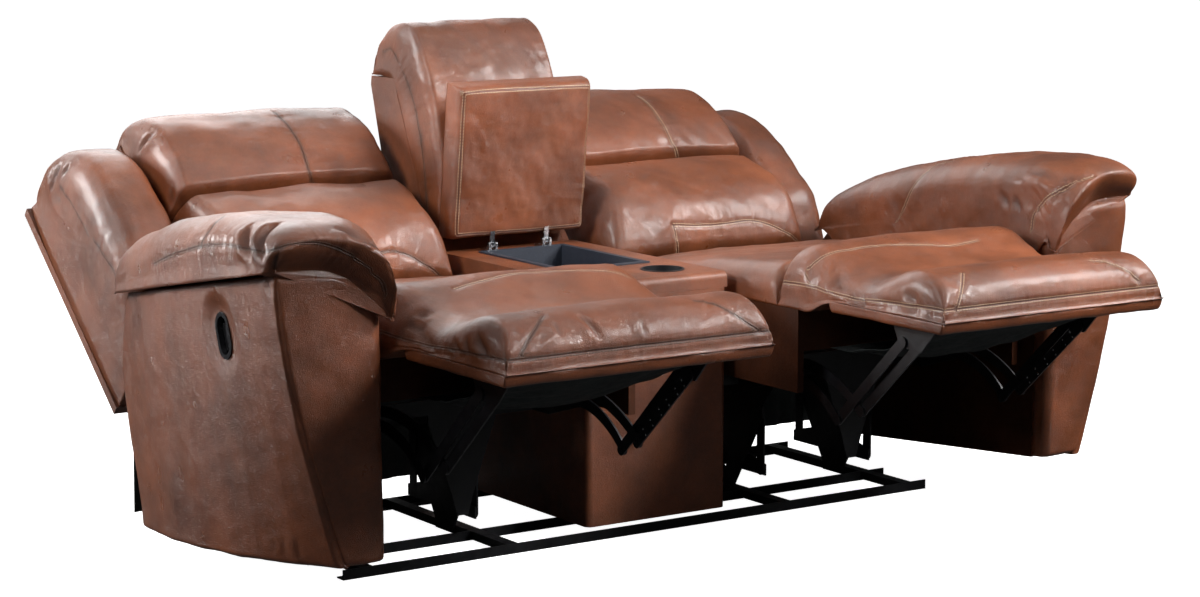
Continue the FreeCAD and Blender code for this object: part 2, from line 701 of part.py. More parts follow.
def glide_plates():
    """Plates that hang from the cross tubes and carry the lower glide pins."""
    parts = []
    low = cell.glide_pin_height - cell.glide_link_length
    half = cell.glide_link_width / 2
    middle = (cell.glide_front + cell.glide_back) / 2
    corners = [
        (cell.glide_front - half, low - half),
        (cell.glide_back + half, low - half),
        (cell.glide_back + half, low + half),
        (middle + half * 3, low + half * 3),
        (cell.tube_back + cell.tube_side, cell.tube_base + cell.rail_wall),
        (cell.tube_front, cell.tube_base + cell.rail_wall),
        (middle - half * 3, low + half * 3),
        (cell.glide_front - half, low + half),
    ]
    layer = cell.plate_wall + cell.side_gap
    inner = cell.rail_inner + cell.rail_depth / 2 + layer * 2
    outer = cell.rail_outer - cell.rail_depth / 2 - layer * 2 - cell.plate_wall
    for name, start, pin_start in (("inner", inner, inner - layer), ("outer", outer, outer)):
        parts.append(plate("glide_plate_" + name, "YZ_Plane", start, cell.plate_wall, corners))
        for index, y in enumerate((cell.glide_front, cell.glide_back)):
            parts.append(pin_across("lower_glide_pin_%s_%d" % (name, index), pin_start, y, low,
                                    layer + cell.plate_wall, cell.pin_radius))
    return parts


def seat_box():
    """Upholstered box of boards under the cushion, open underneath, resting on the cross tubes."""
    foot = cell.tube_base + cell.tube_side + cell.side_gap
    wide = cell.seat_outer - cell.seat_inner
    deep = cell.seat_box_front + cell.seat_box_back
    front = cell.seat_box_front * -1
    high = cell.seat_box_top - foot
    parts = [
        box("seat_side_inner", cell.seat_inner, front, foot, cell.seat_board, deep, high),
        box("seat_side_outer", cell.seat_outer - cell.seat_board, front, foot, cell.seat_board, deep, high),
        box("seat_apron", cell.seat_inner, front, cell.seat_box_top - cell.seat_apron, wide,
            cell.seat_board, cell.seat_apron),
        box("seat_deck", cell.seat_inner, front, cell.seat_box_top - cell.seat_deck, wide, deep,
            cell.seat_deck),
    ]
    keep(fused("seat_box", parts), "seat_box_right")
    mirrored("seat_box")


SEAT_TOP_SHARES = [(0, 0, 0, 0), (1, 0, 0, 0), (1, 0.40, 0.02, 0.6), (0, 1, 0, 1)]
KNEE_SHARES = [(0, 0, 0, 0), (1, 0, 0, 0), (1, 0.74, 0.05, 0.9), (0.02, 0.96, 0, 1)]
FOOTREST_SHARES = [
    (0.015, 0, 0, 0), (1, 0, 0, 0), (1, 0.93, 0, 1), (0.645, 0.70, 0.15, 0.8), (0.02, 0.36, 0, 0.3),
    (0, 0.2, 0, 0),
]
UP = Vector(0, 0, 1)
FORWARD = Vector(0, -1, 0)


def seat_pads():
    base = mm.seat_box_top + mm.soft_gap
    start, end = mm.seat_inner, mm.seat_outer - mm.soft_gap
    stations = pad_stations(start, end, mm.pad_round, mm.seat_crown)
    rear = mm.seat_box_back + mm.overrun
    front = -mm.seat_split + mm.soft_gap
    rows = spread(SEAT_TOP_SHARES, front, rear - front, base, mm.seat_front_height - base)
    keep(shaped("seat_cushion", side_pad(rows, stations, UP)), "seat_cushion_right")
    front = mm.fold_y + mm.fold_gap
    rows = spread(KNEE_SHARES, front, -mm.seat_split - front, base, mm.knee_height - base)
    keep(shaped("knee_pad", side_pad(rows, stations, UP)), "knee_pad_right")
    rear = mm.fold_y - mm.fold_gap
    rows = spread(FOOTREST_SHARES, -mm.footrest_front, rear + mm.footrest_front, mm.fold_z,
                  mm.footrest_height - mm.fold_z)
    stations = pad_stations(start, mm.footrest_outer, mm.pad_round, mm.pad_crown)
    keep(shaped("footrest_pad", side_pad(rows, stations, UP)), "footrest_pad_right")
    for label in ("seat_cushion", "knee_pad", "footrest_pad"):
        mirrored(label)


def footrest():
    """Board under the footrest pad, and a bracket at each side for the upper links."""
    board_top = cell.fold_z - cell.soft_gap
    front = (cell.footrest_front - cell.overrun) * -1
    keep(box("footrest_board", cell.seat_inner, front, board_top - cell.footrest_board_wall,
             cell.footrest_outer - cell.seat_inner,
             cell.footrest_front - cell.overrun - cell.footrest_board_back, cell.footrest_board_wall),
         "footrest_board_right")
    mirrored("footrest_board")
    under = board_top - cell.footrest_board_wall - cell.side_gap
    half = cell.link_width / 2
    corners = [
        (cell.upper_rear_y + half * 3, under),
        (cell.upper_front_y - half * 5, under),
        (cell.upper_front_y - half * 5, under - half),
        (cell.upper_front_y - half, cell.upper_front_z - half),
        (cell.upper_rear_y + half, cell.upper_rear_z - half),
        (cell.upper_rear_y + half * 3, under - half),
    ]
    brackets = []
    for side_name, side in SIDES:
        blade = plate("footrest_blade_" + side_name, "YZ_Plane", layer_start(BRACKET_LAYER, side),
                      cell.plate_wall, corners)
        front_pin = layer_pin("footrest_front_pin_" + side_name, BRACKET_LAYER,
                              LINK_LAYERS["upper_front"], side, cell.upper_front_y, cell.upper_front_z)
        rear_pin = layer_pin("footrest_rear_pin_" + side_name, LINK_LAYERS["upper_rear"],
                             BRACKET_LAYER, side, cell.upper_rear_y, cell.upper_rear_z)
        foot = layer_start(BRACKET_LAYER, side)
        if side > 0:
            foot = foot + cell.plate_wall - cell.link_width
        foot_plate = box("footrest_foot_" + side_name, foot, cell.upper_front_y - half * 5,
                         under - cell.rail_wall, cell.link_width,
                         cell.upper_rear_y - cell.upper_front_y + half * 8, cell.rail_wall)
        brackets.append(fused("footrest_bracket_" + side_name, [blade, front_pin, rear_pin, foot_plate]))
    keep(set_apart("footrest_brackets", brackets), "footrest_brackets_right")
    mirrored("footrest_brackets")


def back_place():
    return turned(mm.back_pivot_y, mm.back_pivot_z, -mm.back_lean)


BRACKET_SHARES = [
    (0.36, -1), (1, -0.36), (5, 2.7), (5, 9), (2.7, 9), (2.7, 3.6), (-0.36, 1), (-1, 0.36), (-1, -0.36),
    (-0.36, -1),
]


def back_frame():
    """Boards and rear panel of a back, made upright at the recline pivot and then leaned."""
    inner = layer_start(-1, -1) - cell.side_gap - cell.back_board
    outer = layer_start(-1, 1) + cell.plate_wall + cell.side_gap
    front = cell.back_frame_front
    deep = cell.back_depth - cell.back_panel - front
    foot = cell.back_foot * -1
    high = cell.back_foot + cell.back_top
    parts = [
        box("back_panel", cell.seat_inner, cell.back_depth - cell.back_panel, foot,
            cell.wing_outer - cell.seat_inner, cell.back_panel, high),
        box("back_board_inner", inner, front, foot, cell.back_board, deep, high),
        box("back_board_outer", outer, front, foot, cell.back_board, deep, high),
        box("back_top_board", inner, front, cell.back_top - cell.back_board,
            outer + cell.back_board - inner, deep, cell.back_board),
    ]
    frame = fused("back_frame", parts)
    frame.Placement = back_place()
    keep(frame, "back_frame_right")
    ear = cell.back_ear
    corners = [(ear * y, ear * z) for y, z in BRACKET_SHARES]
    brackets = []
    for side_name, side in SIDES:
        ear_plate = plate("back_ear_" + side_name, "YZ_Plane", layer_start(-1, side), cell.plate_wall,
                          corners)
        pin = layer_pin("back_pin_" + side_name, -1, 0, side, ZERO, ZERO)
        brackets.append(fused("back_bracket_" + side_name, [ear_plate, pin]))
    pair = set_apart("back_brackets", brackets)
    pair.Placement = back_place()
    keep(pair, "back_brackets_right")
    mirrored("back_frame")
    mirrored("back_brackets")


LUMBAR_SHARES = [
    (0.13, 0, 0.10, 0.2), (0.51, 0.017, 0, 0), (0.51, 0.276, 0, 0), (1, 0.483, 0, 0), (1, 1, 0, 0),
    (0.35, 1, 0.05, 0.4), (0, 0.46, 0.08, 1),
]
HEADREST_SHARES = [
    (0.035, 0, 0, 0.4), (0.396, 0, 0, 0), (0.396, 0.853, 0, 0), (0.99, 0.853, 0, 0), (1, 0.90, 0.06, 0),
    (0.50, 1, 0.12, 0.2), (0.09, 0.76, 0.05, 0.8),
]
WING_SHARES = [
    (0.60, 0, 0, 0), (0.928, 0, 0, 0), (0.928, 0.953, 0, 0), (1, 0.953, 0, 0), (1, 0.985, 0.03, 0),
    (0.62, 1, 0.08, 0.2), (0.19, 0.876, 0.06, 0.6), (0, 0.61, 0.03, 1), (0, 0.32, 0.02, 1),
    (0.235, 0.135, 0, 0), (0.375, 0.05, 0, 0),
]


def back_pads():
    """Lumbar pad, headrest and wing, in the upright back's own frame."""
    rear = mm.back_frame_front - mm.soft_gap
    outer = mm.mechanism_centre + mm.mechanism_half + mm.plate_wall + mm.side_gap * 2 + mm.back_board
    start = mm.seat_inner
    stations = pad_stations(start, outer, mm.pad_round, mm.back_crown)
    rows = spread(LUMBAR_SHARES, -mm.lumbar_front, rear + mm.lumbar_front, -mm.lumbar_foot,
                  mm.headrest_split + mm.lumbar_foot)
    keep(shaped("lumbar_pad", side_pad(rows, stations, FORWARD), back_place()), "lumbar_pad_right")
    base = mm.headrest_split + mm.soft_gap
    rows = spread(HEADREST_SHARES, -mm.headrest_front, mm.back_depth + mm.headrest_front, base,
                  mm.headrest_top - base)
    keep(shaped("headrest", side_pad(rows, stations, FORWARD), back_place()), "headrest_right")
    rows = spread(WING_SHARES, -mm.wing_front, mm.back_depth + mm.wing_front, -mm.back_foot,
                  mm.back_foot + mm.wing_top)
    stations = pad_stations(outer + mm.soft_gap, mm.wing_outer, mm.pad_round, mm.pad_crown)
    keep(shaped("wing", side_pad(rows, stations, FORWARD), back_place()), "wing_right")
    for label in ("lumbar_pad", "headrest", "wing"):
        mirrored(label)


# Arms: an inner frame, an outer side panel, a front panel and the pad over them

ARM_SHARES = [(0, 0.099, 0, 0), (0.866, 0, 0.05, 0), (1, 0.48, 0.12, 0), (0.887, 0.785, 0, 0), (0, 1, 0, 0)]
ARM_FOOT_PLAN = [(0, 0.86), (0.26, 0.985), (0.52, 1), (1, 0.94)]
ARM_TOP_PLAN = [(0, 0.985), (0.26, 1.01), (0.52, 1.005), (1, 0.93)]
ARM_PLAN_BULGE_SHARES = [0, 0.02, 0.01, 0.03, 0, 0]
SEAM_FALL_SHARE = 0.178


def arm_outer():
    """Outer side of the arm at the pad seam."""
    return mm.arm_inner + mm.arm_width


def arm_outer_foot():
    """Outer side of the arm at its foot."""
    return arm_outer() - mm.arm_foot_taper


def arm_profile(inset):
    """Side outline of an arm, drawn in by an inset."""
    length = mm.arm_front + mm.arm_back
    rows = spread(ARM_SHARES, -mm.arm_front, length, mm.arm_heel, mm.arm_top - mm.arm_heel)
    return drawn_in(rows, inset)


def seam_height(y):
    """Height of the seam under the arm pad, which falls towards the back."""
    return mm.arm_top - (y + mm.arm_front) * SEAM_FALL_SHARE


def arm_plan(shares, outer, height, start, inset):
    """Plan outline at a height: straight inside, arched outside."""
    length = mm.arm_front + mm.arm_back
    places = [Vector(outer * share - inset, -mm.arm_front + y * length, height) for y, share in shares]
    points = [Vector(start, places[0].y, height)] + places + [Vector(start, places[-1].y, height)]
    return outline_wire(points, ARM_PLAN_BULGE_SHARES, UP)


def arm_block(start, inset):
    """Outer half of the arm between its foot and pad, as a loft of two plans."""
    low = mm.arm_heel - mm.overrun
    high = mm.arm_top + mm.overrun
    wires = [arm_plan(ARM_FOOT_PLAN, arm_outer_foot(), low, start, inset),
             arm_plan(ARM_TOP_PLAN, arm_outer(), high, start, inset)]
    return Part.makeLoft(wires, True, True)


def arm_frame():
    """Inner frame of an arm: a tray with its open side towards the outer panel."""
    outer_face = mm.arm_inner + mm.arm_core_width
    front = -mm.arm_front + mm.arm_front_wall + mm.soft_gap
    reach = mm.arm_front + mm.arm_back
    slab = Part.makeBox(mm.arm_core_width, reach, mm.arm_top, Vector(mm.arm_inner, front, 0))
    block = side_prism(arm_profile(0), mm.arm_inner, outer_face).common(slab)
    wall = mm.arm_core_wall
    slab = Part.makeBox(mm.arm_core_width, reach, mm.arm_top, Vector(mm.arm_inner + wall, front + wall, 0))
    hollow = side_prism(arm_profile(wall), mm.arm_inner + wall, outer_face + mm.overrun).common(slab)
    keep(shaped("arm_frame", block.cut(hollow)), "arm_frame_right")
    mirrored("arm_frame")


def slot_prism(start, end, high, wide):
    """Upright slot-shaped prism along X, about the origin."""
    half = wide / 2
    straight = high / 2 - half
    corners = [Vector(start, -half, straight), Vector(start, -half, -straight),
               Vector(start, half, -straight), Vector(start, half, straight)]
    foot = Part.Arc(corners[1], Vector(start, 0, -straight - half), corners[2])
    head = Part.Arc(corners[3], Vector(start, 0, straight + half), corners[0])
    wire = Part.Wire([Part.LineSegment(corners[0], corners[1]).toShape(), foot.toShape(),
                      Part.LineSegment(corners[2], corners[3]).toShape(), head.toShape()])
    return Part.Face(wire).extrude(SIDE_AXIS * (end - start))


def handle_place():
    return turned(mm.handle_y, mm.handle_z, -mm.handle_tilt, arm_outer() - mm.handle_sink)


def arm_side():
    """Outer panel of an arm, hollow towards its frame, with the seat for the release handle."""
    start = mm.arm_inner + mm.arm_core_width + mm.soft_gap
    front = -mm.arm_front + mm.arm_front_wall + mm.soft_gap
    reach = mm.arm_front + mm.arm_back
    slab = Part.makeBox(arm_outer(), reach, mm.arm_top, Vector(start, front, 0))
    prism = side_prism(arm_profile(0), start, arm_outer() + mm.arm_core_width).common(slab)
    body = arm_block(start - mm.overrun, 0).common(prism)
    wall = mm.arm_side_wall
    slab = Part.makeBox(arm_outer(), reach, mm.arm_top, Vector(start - mm.overrun, front + wall, 0))
    inside = side_prism(arm_profile(wall), start - mm.overrun, arm_outer()).common(slab)
    hollow = arm_block(start - mm.overrun * 2, wall).common(inside)
    gap = mm.side_gap * 2
    seat = slot_prism(-mm.handle_flange - mm.side_gap, mm.handle_depth, mm.handle_height + gap,
                      mm.handle_width + gap)
    rim = mm.handle_rim * 2
    cup = slot_prism(-mm.handle_depth - mm.side_gap, mm.handle_depth, mm.handle_height - rim + gap,
                     mm.handle_width - rim + gap)
    for tool in (seat, cup):
        tool.Placement = handle_place()
        body = body.cut(tool)
    keep(shaped("arm_side", body.cut(hollow)), "arm_side_right")
    mirrored("arm_side")


def arm_front():
    """Front panel of an arm, flaring outwards to the top."""
    flare = (arm_outer_foot() * ARM_FOOT_PLAN[0][1], arm_outer() * ARM_TOP_PLAN[0][1])
    points = [Vector(mm.arm_inner + mm.arm_side_wall / 2, -mm.arm_front, mm.arm_foot),
              Vector(flare[0], -mm.arm_front, mm.arm_foot),
              Vector(flare[1], -mm.arm_front, mm.arm_top),
              Vector(mm.arm_inner, -mm.arm_front, mm.arm_top)]
    face = Part.Face(outline_wire(points, [0, 0.03, 0, 0], FORWARD))
    panel = face.extrude(Vector(0, mm.arm_front_wall, 0))
    trim = side_prism(arm_profile(0), mm.arm_inner - mm.overrun, arm_outer() + mm.arm_core_width)
    keep(shaped("arm_front", panel.common(trim)), "arm_front_right")
    mirrored("arm_front")


# Each station of the arm pad is its place, width and height, all as shares of the pad's own.
ARM_PAD_SHARES = [
    (0, 0.62, 0.66), (0.03, 0.82, 0.80), (0.10, 0.95, 0.92), (0.25, 1, 0.99), (0.42, 1, 1),
    (0.62, 0.99, 0.94), (0.80, 0.96, 0.82), (0.93, 0.88, 0.62), (1, 0.64, 0.36),
]
# Each corner of its section is its place across, its height and the bulge of the side that follows.
ARM_SECTION_SHARES = [
    (-0.90, 0, 0), (0.88, 0, 0.08), (1, 0.45, 0.14),
    (0.45, 0.95, 0.06), (-0.55, 0.93, 0.14), (-1, 0.40, 0.08),
]
ARM_CROWN_SHARE = 0.38


def arm_pad():
    """Bolster over an arm, lofted from front to back over the falling seam."""
    length = mm.arm_pad_front + mm.arm_pad_back
    inner, outer = mm.arm_pad_inner, mm.arm_pad_outer
    middle = (inner + outer) / 2
    rise = mm.arm_pad_top - seam_height(-mm.arm_pad_front + length * ARM_CROWN_SHARE)
    wires = []
    for along, wide, high in ARM_PAD_SHARES:
        y = -mm.arm_pad_front + along * length
        base = seam_height(y) + mm.soft_gap
        half = (outer - inner) / 2 * wide
        points = [Vector(middle + half * side, y, base + rise * high * up)
                  for side, up, bulge in ARM_SECTION_SHARES]
        wires.append(outline_wire(points, [bulge for side, up, bulge in ARM_SECTION_SHARES], FORWARD))
    keep(shaped("arm_pad", Part.makeLoft(wires, True, True)), "arm_pad_right")
    mirrored("arm_pad")


LEVER_HEIGHT_SHARE = 0.62


def release_handle():
    """Oval bezel with a cup let into the arm, and the pull lever in the cup."""
    rim = mm.handle_rim * 2
    cup_high = mm.handle_height - rim
    cup_wide = mm.handle_width - rim
    wall = mm.handle_wall * 2
    flange = slot_prism(-mm.handle_flange, 0, mm.handle_height, mm.handle_width)
    cup = slot_prism(-mm.handle_depth, -mm.handle_flange, cup_high, cup_wide)
    hollow = slot_prism(-mm.handle_depth + mm.handle_wall, mm.overrun, cup_high - wall, cup_wide - wall)
    bezel = flange.fuse(cup).removeSplitter().cut(hollow)
    keep(shaped("handle_bezel", bezel, handle_place()), "handle_bezel_right")
    inside = cup_wide - wall
    lever_back = inside / 2 - mm.handle_wall
    lever_high = (cup_high - wall) * LEVER_HEIGHT_SHARE
    depth = -mm.handle_depth / 2 - mm.lever_wall / 2
    blade = Part.makeBox(mm.lever_wall, mm.lever_width, lever_high,
                         Vector(depth, lever_back - mm.lever_width, -lever_high / 2))
    stem = Part.makeCylinder(mm.lever_wall / 2, mm.lever_stem,
                             Vector(depth + mm.lever_wall / 2, lever_back - mm.lever_wall / 2,
                                    -mm.lever_stem / 2), UP)
    keep(shaped("handle_lever", blade.fuse(stem), handle_place()), "handle_lever_right")
    mirrored("handle_bezel")
    mirrored("handle_lever")


# Console between the seats

def edges_where(shape, test):
    """Names of the edges whose middle point and direction pass a test."""
    names = []
    for index, edge in enumerate(shape.Edges, start=1):
        ends = [vertex.Point for vertex in edge.Vertexes]
        if len(ends) == 2 and test((ends[0] + ends[1]) * 0.5, ends[1] - ends[0]):
            names.append("Edge%d" % index)
    return names


def rounded(body, names, radius, name):
    base = body.Tip
    fillet = body.newObject("PartDesign::Fillet", name)
    fillet.Base = (base, names)
    fillet.setExpression("Radius", radius.text)
    body.Tip = fillet
    return fillet


def rectangle(x_low, x_high, y_low, y_high):
    return [(x_low, y_low), (x_high, y_low), (x_high, y_high), (x_low, y_high)]


def near(value, target):
    return abs(value - target) < 1e-3


def console_shell():
    """Open box between the seats, rounded at its front edges."""
    half = cell.console_half
    front = cell.console_front * -1
    wall = cell.console_wall
    high = cell.deck_top - cell.deck_wall - cell.console_foot
    body = plate("console_shell", "XY_Plane", cell.console_foot, high,
                 rectangle(half * -1, half, front, cell.console_back))
    doc.recompute()
    names = edges_where(body.Shape, lambda middle, along: near(middle.y, -mm.console_front)
                        and near(along.x, 0) and near(along.y, 0))
    rounded(body, names, cell.console_corner, "console_shell_corners")
    inside = new_sketch(body, "XY_Plane", cell.console_foot + high, "console_hollow")
    draw_polygon(inside, rectangle(wall - half, half - wall, front + wall, cell.console_back - wall))
    add_pocket(body, inside, high, "console_cavity")
    keep(body, "console_shell")


def console_deck():
    """Top board of the console with the bin opening and two cup holes."""
    half = cell.console_half
    front = cell.console_front * -1
    gap = cell.side_gap
    base = cell.deck_top - cell.deck_wall + cell.side_gap
    body = doc.addObject("PartDesign::Body", "deck_body")
    sketch = new_sketch(body, "XY_Plane", base, "deck_outline")
    draw_polygon(sketch, rectangle(half * -1, half, front, cell.console_back))
    wide = cell.bin_half + cell.bin_wall + gap
    draw_polygon(sketch, rectangle(wide * -1, wide, cell.bin_front - cell.bin_wall - gap,
                                   cell.bin_back + cell.bin_wall + gap))
    for side in (-1, 1):
        draw_circle(sketch, cell.cup_offset * side, cell.cup_place * -1,
                    cell.cup_radius + cell.cup_wall + gap)
    add_pad(body, sketch, cell.deck_wall - cell.side_gap, "deck_pad")
    doc.recompute()
    names = edges_where(body.Shape, lambda middle, along: near(middle.y, -mm.console_front)
                        and near(along.y, 0))
    names = [name for name in names if near(body.Shape.getElement(name).Vertexes[0].Z, mm.deck_top)]
    rounded(body, names, cell.console_corner, "deck_edge")
    keep(body, "console_deck")


def storage_bin():
    wall = cell.bin_wall
    half = cell.bin_half + wall
    front = cell.bin_front - wall
    deep = cell.bin_back + wall - front
    top = cell.deck_top + cell.side_gap
    tub = box("bin_tub", half * -1, front, cell.bin_floor - wall, half * 2, deep,
              top + cell.rail_wall - cell.bin_floor + wall)
    rim = box("bin_rim", (half + cell.bin_rim) * -1, front - cell.bin_rim, top,
              (half + cell.bin_rim) * 2, deep + cell.bin_rim * 2, cell.rail_wall)
    hollow = box("bin_hollow", cell.bin_half * -1, cell.bin_front, cell.bin_floor,
                 cell.bin_half * 2, cell.bin_back - cell.bin_front, cell.deck_top)
    keep(cut("storage_bin", fused("bin_blank", [tub, rim]), [hollow]), "console_bin")


def upright_cylinder(name, x, y, z, radius, high):
    cylinder = doc.addObject("Part::Cylinder", name)
    for axis, formula in (("x", x), ("y", y), ("z", z)):
        cylinder.setExpression("Placement.Base." + axis, measured(formula).text)
    cylinder.setExpression("Radius", radius.text)
    cylinder.setExpression("Height", high.text)
    return cylinder


def cup_holders():
    cups = []
    for name, side in (("left", -1), ("right", 1)):
        place = (cell.cup_offset * side, cell.cup_place * -1)
        top = cell.deck_top + cell.side_gap
        cup = upright_cylinder("cup_" + name, *place, top - cell.cup_depth, cell.cup_radius + cell.cup_wall,
                               cell.cup_depth + cell.cup_wall)
        rim = upright_cylinder("cup_rim_" + name, *place, top, cell.cup_radius + cell.cup_rim, cell.cup_wall)
        hollow = upright_cylinder("cup_hollow_" + name, *place, top - cell.cup_depth + cell.cup_wall,
                                  cell.cup_radius, cell.cup_depth + cell.overrun)
        cups.append(cut("cup_holder_" + name, fused("cup_blank_" + name, [cup, rim]), [hollow]))
    keep(set_apart("cup_holders", cups), "cup_holders")


def lid_place():
    return turned(mm.lid_axis_y, mm.lid_axis_z, -mm.lid_open)


# Sides of the hinge leaves, as shares of the barrel's radius.
LEAF_HALF_SHARE = 0.9
LEAF_FOOT_SHARE = 0.6
LEAF_HEAD_SHARE = 0.5
LEAF_NECK_SHARE = 0.4
LEAF_REACH_SHARE = 13
PLATE_REACH_SHARE = 6


def console_lid():
    """Padded lid, modelled shut about its hinge axis and then opened."""
    half = cell.lid_half
    start = cell.lid_gap
    body = plate("lid_body", "XY_Plane", cell.lid_rise, cell.lid_wall,
                 rectangle(half * -1, half, (start + cell.lid_length) * -1, start * -1))
    doc.recompute()
    upper = mm.lid_rise + mm.lid_wall
    names = edges_where(body.Shape, lambda middle, along: near(middle.z, upper)
                        or (not near(along.z, 0) and middle.y < -mm.lid_length))
    rounded(body, names, cell.lid_corner, "lid_edges")
    body.Placement = lid_place()
    keep(body, "console_lid")
    arms = []
    reach = cell.hinge_barrel
    half, tip = reach * LEAF_HALF_SHARE, reach * -LEAF_REACH_SHARE
    under = cell.lid_rise - cell.side_gap
    corners = [(half * -1, reach * -LEAF_FOOT_SHARE), (half, reach * -LEAF_FOOT_SHARE),
               (half, reach * LEAF_HEAD_SHARE), (reach * LEAF_NECK_SHARE, under),
               (tip, under), (tip, cell.side_gap), (half * -1, cell.side_gap)]
    knuckle = cell.hinge_width / 2
    for name, side in (("left", -1), ("right", 1)):
        middle = cell.hinge_offset * side
        leaf = plate("lid_leaf_" + name, "YZ_Plane", middle - knuckle / 2, knuckle, corners)
        pin = pin_across("lid_pin_" + name, middle - knuckle, ZERO, ZERO, knuckle * 2, cell.hinge_pin)
        arms.append(fused("lid_arm_" + name, [leaf, pin]))
    pair = set_apart("lid_arms", arms)
    pair.Placement = lid_place()
    keep(pair, "lid_hinge_arms")


def hinge_plates():
    """Fixed leaves on the deck, with a knuckle at each side of the lid's."""
    top = cell.deck_top + cell.side_gap
    axis_y, axis_z = cell.lid_axis_y, cell.lid_axis_z
    reach = cell.hinge_barrel
    end, chamfer = axis_y + reach * PLATE_REACH_SHARE, reach * LEAF_HEAD_SHARE
    corners = [(axis_y - reach, top), (end, top), (end, top + cell.hinge_wall),
               (axis_y + reach, top + cell.hinge_wall), (axis_y + reach, axis_z + chamfer),
               (axis_y + chamfer, axis_z + reach), (axis_y - chamfer, axis_z + reach),
               (axis_y - reach, axis_z + chamfer)]
    bore = (axis_y, axis_z, cell.hinge_pin + cell.running_gap)
    knuckle = cell.hinge_width / 2
    ear = knuckle / 2 - cell.side_gap
    parts = []
    for name, side in (("left", -1), ("right", 1)):
        middle = cell.hinge_offset * side
        ears = [plate("fixed_ear_%s_%s" % (name, place), "YZ_Plane", start, ear, corners, [bore])
                for place, start in (("low", middle - knuckle), ("high", middle + knuckle - ear))]
        foot = box("fixed_leaf_" + name, middle - knuckle, axis_y + reach * 2, top, knuckle * 2,
                   reach * 4, cell.hinge_wall)
        parts.append(fused("fixed_leaf_pair_" + name, ears + [foot]))
    keep(set_apart("hinge_plates", parts), "lid_hinge_plates")


# Places along the lean, and heights from the cushion's foot to the shell's top. Two stand at the base.
SHELL_SHARES = [
    (0, 0, 0, 0), (0.24, 0, 0, 0), (1, 0.9412614, 0, 0), (0.99, 1, 0, 0), (0.66, 1, 0, 0),
    (0.14, 0.0014438, 0, 0), (0, -0.1277812, 0, 0),
]
SHELL_TOP_SHARE = 0.7246696
CONSOLE_PAD_SHARES = [
    (0.055, 0, 0, 0.2), (0.1396, 0, 0, 0), (0.6594, 0.7255, 0, 0), (0.98, 0.7255, 0, 0), (1, 0.78, 0.08, 0),
    (0.78, 0.955, 0.08, 0), (0.55, 0.99, 0.10, 0.3), (0.26, 0.80, 0.04, 1), (0, 0.33, 0.02, 1),
]


def shell_runs(rows):
    """Outline corners that each board runs along: rear, top, and three at the front."""
    return [rows[1:3], rows[2:5], rows[4:6], rows[5:7], rows[6:] + rows[:1]]


def console_back():
    """Leaning shell behind the console and the cushion over it."""
    start = mm.console_back + mm.soft_gap
    base = mm.console_foot + mm.tube_side * 2.5
    foot = mm.deck_top + mm.pad_round
    height = mm.console_crown - foot
    rows = spread(SHELL_SHARES, start, mm.console_lean, foot, height * SHELL_TOP_SHARE)
    rows[0] = (rows[0][0], base, 0, 0)
    rows[1] = (rows[1][0], base, 0, 0)
    wall, gap = mm.seat_board, mm.soft_gap
    inner = drawn_in(rows, wall)
    inner[0] = (inner[0][0], base, 0, 0)
    inner[1] = (inner[1][0], base, 0, 0)
    half = mm.lid_half
    boards = [side_prism(rows, -half, wall - half), side_prism(rows, half - wall, half)]
    for outer_run, inner_run in zip(shell_runs(rows), shell_runs(inner)):
        flat = [(y, z, 0, 0) for y, z, bulge, share in outer_run + inner_run[::-1]]
        boards.append(side_prism(drawn_in(flat, gap / 2), wall + gap - half, half - wall - gap))
    pieces = [shaped("console_back_board_%d" % k, board) for k, board in enumerate(boards)]
    keep(set_apart("console_back_boards", pieces), "console_back_shell")
    rows = spread(CONSOLE_PAD_SHARES, mm.console_back - mm.soft_gap * 2, mm.console_lean + mm.soft_gap * 3,
                  foot, height)
    stations = pad_stations(-mm.lid_half, mm.lid_half, mm.pad_round, mm.pad_crown)
    keep(shaped("console_cushion", side_pad(rows, stations, FORWARD)), "console_back_cushion")


def build():
    floor_frame()
    glide_links()
    seat_mechanism()
    footrest_links()
    seat_box()
    seat_pads()
    footrest()
    back_frame()
    back_pads()
    arm_frame()
    arm_side()
    arm_front()
    arm_pad()
    release_handle()
    console_shell()
    console_deck()
    storage_bin()
    cup_holders()
    console_lid()
    hinge_plates()
    console_back()


def write_pieces():
    """Check every object of the document, then write each sub-part to its own file."""
    doc.recompute()
    faults = [item.Label for item in doc.Objects if "Invalid" in item.State or "Error" in item.State]
    for label, piece in PIECES.items():
        shape = piece.Shape
        if shape.isNull() or not shape.isValid() or not shape.Solids:
            faults.append(label)
    if faults:
        raise RuntimeError("Faulty pieces: " + ", ".join(faults))
    os.makedirs("parts", exist_ok=True)
    for label, piece in PIECES.items():
        piece.Shape.exportStep(os.path.join("parts", label + ".step"))
        print(label, len(piece.Shape.Solids), round(piece.Shape.Volume / 1000), "cm3")


build()
write_pieces()
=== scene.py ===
"""Looks of a double reclining loveseat with a console, in brown leather, leaned back and open."""

import math

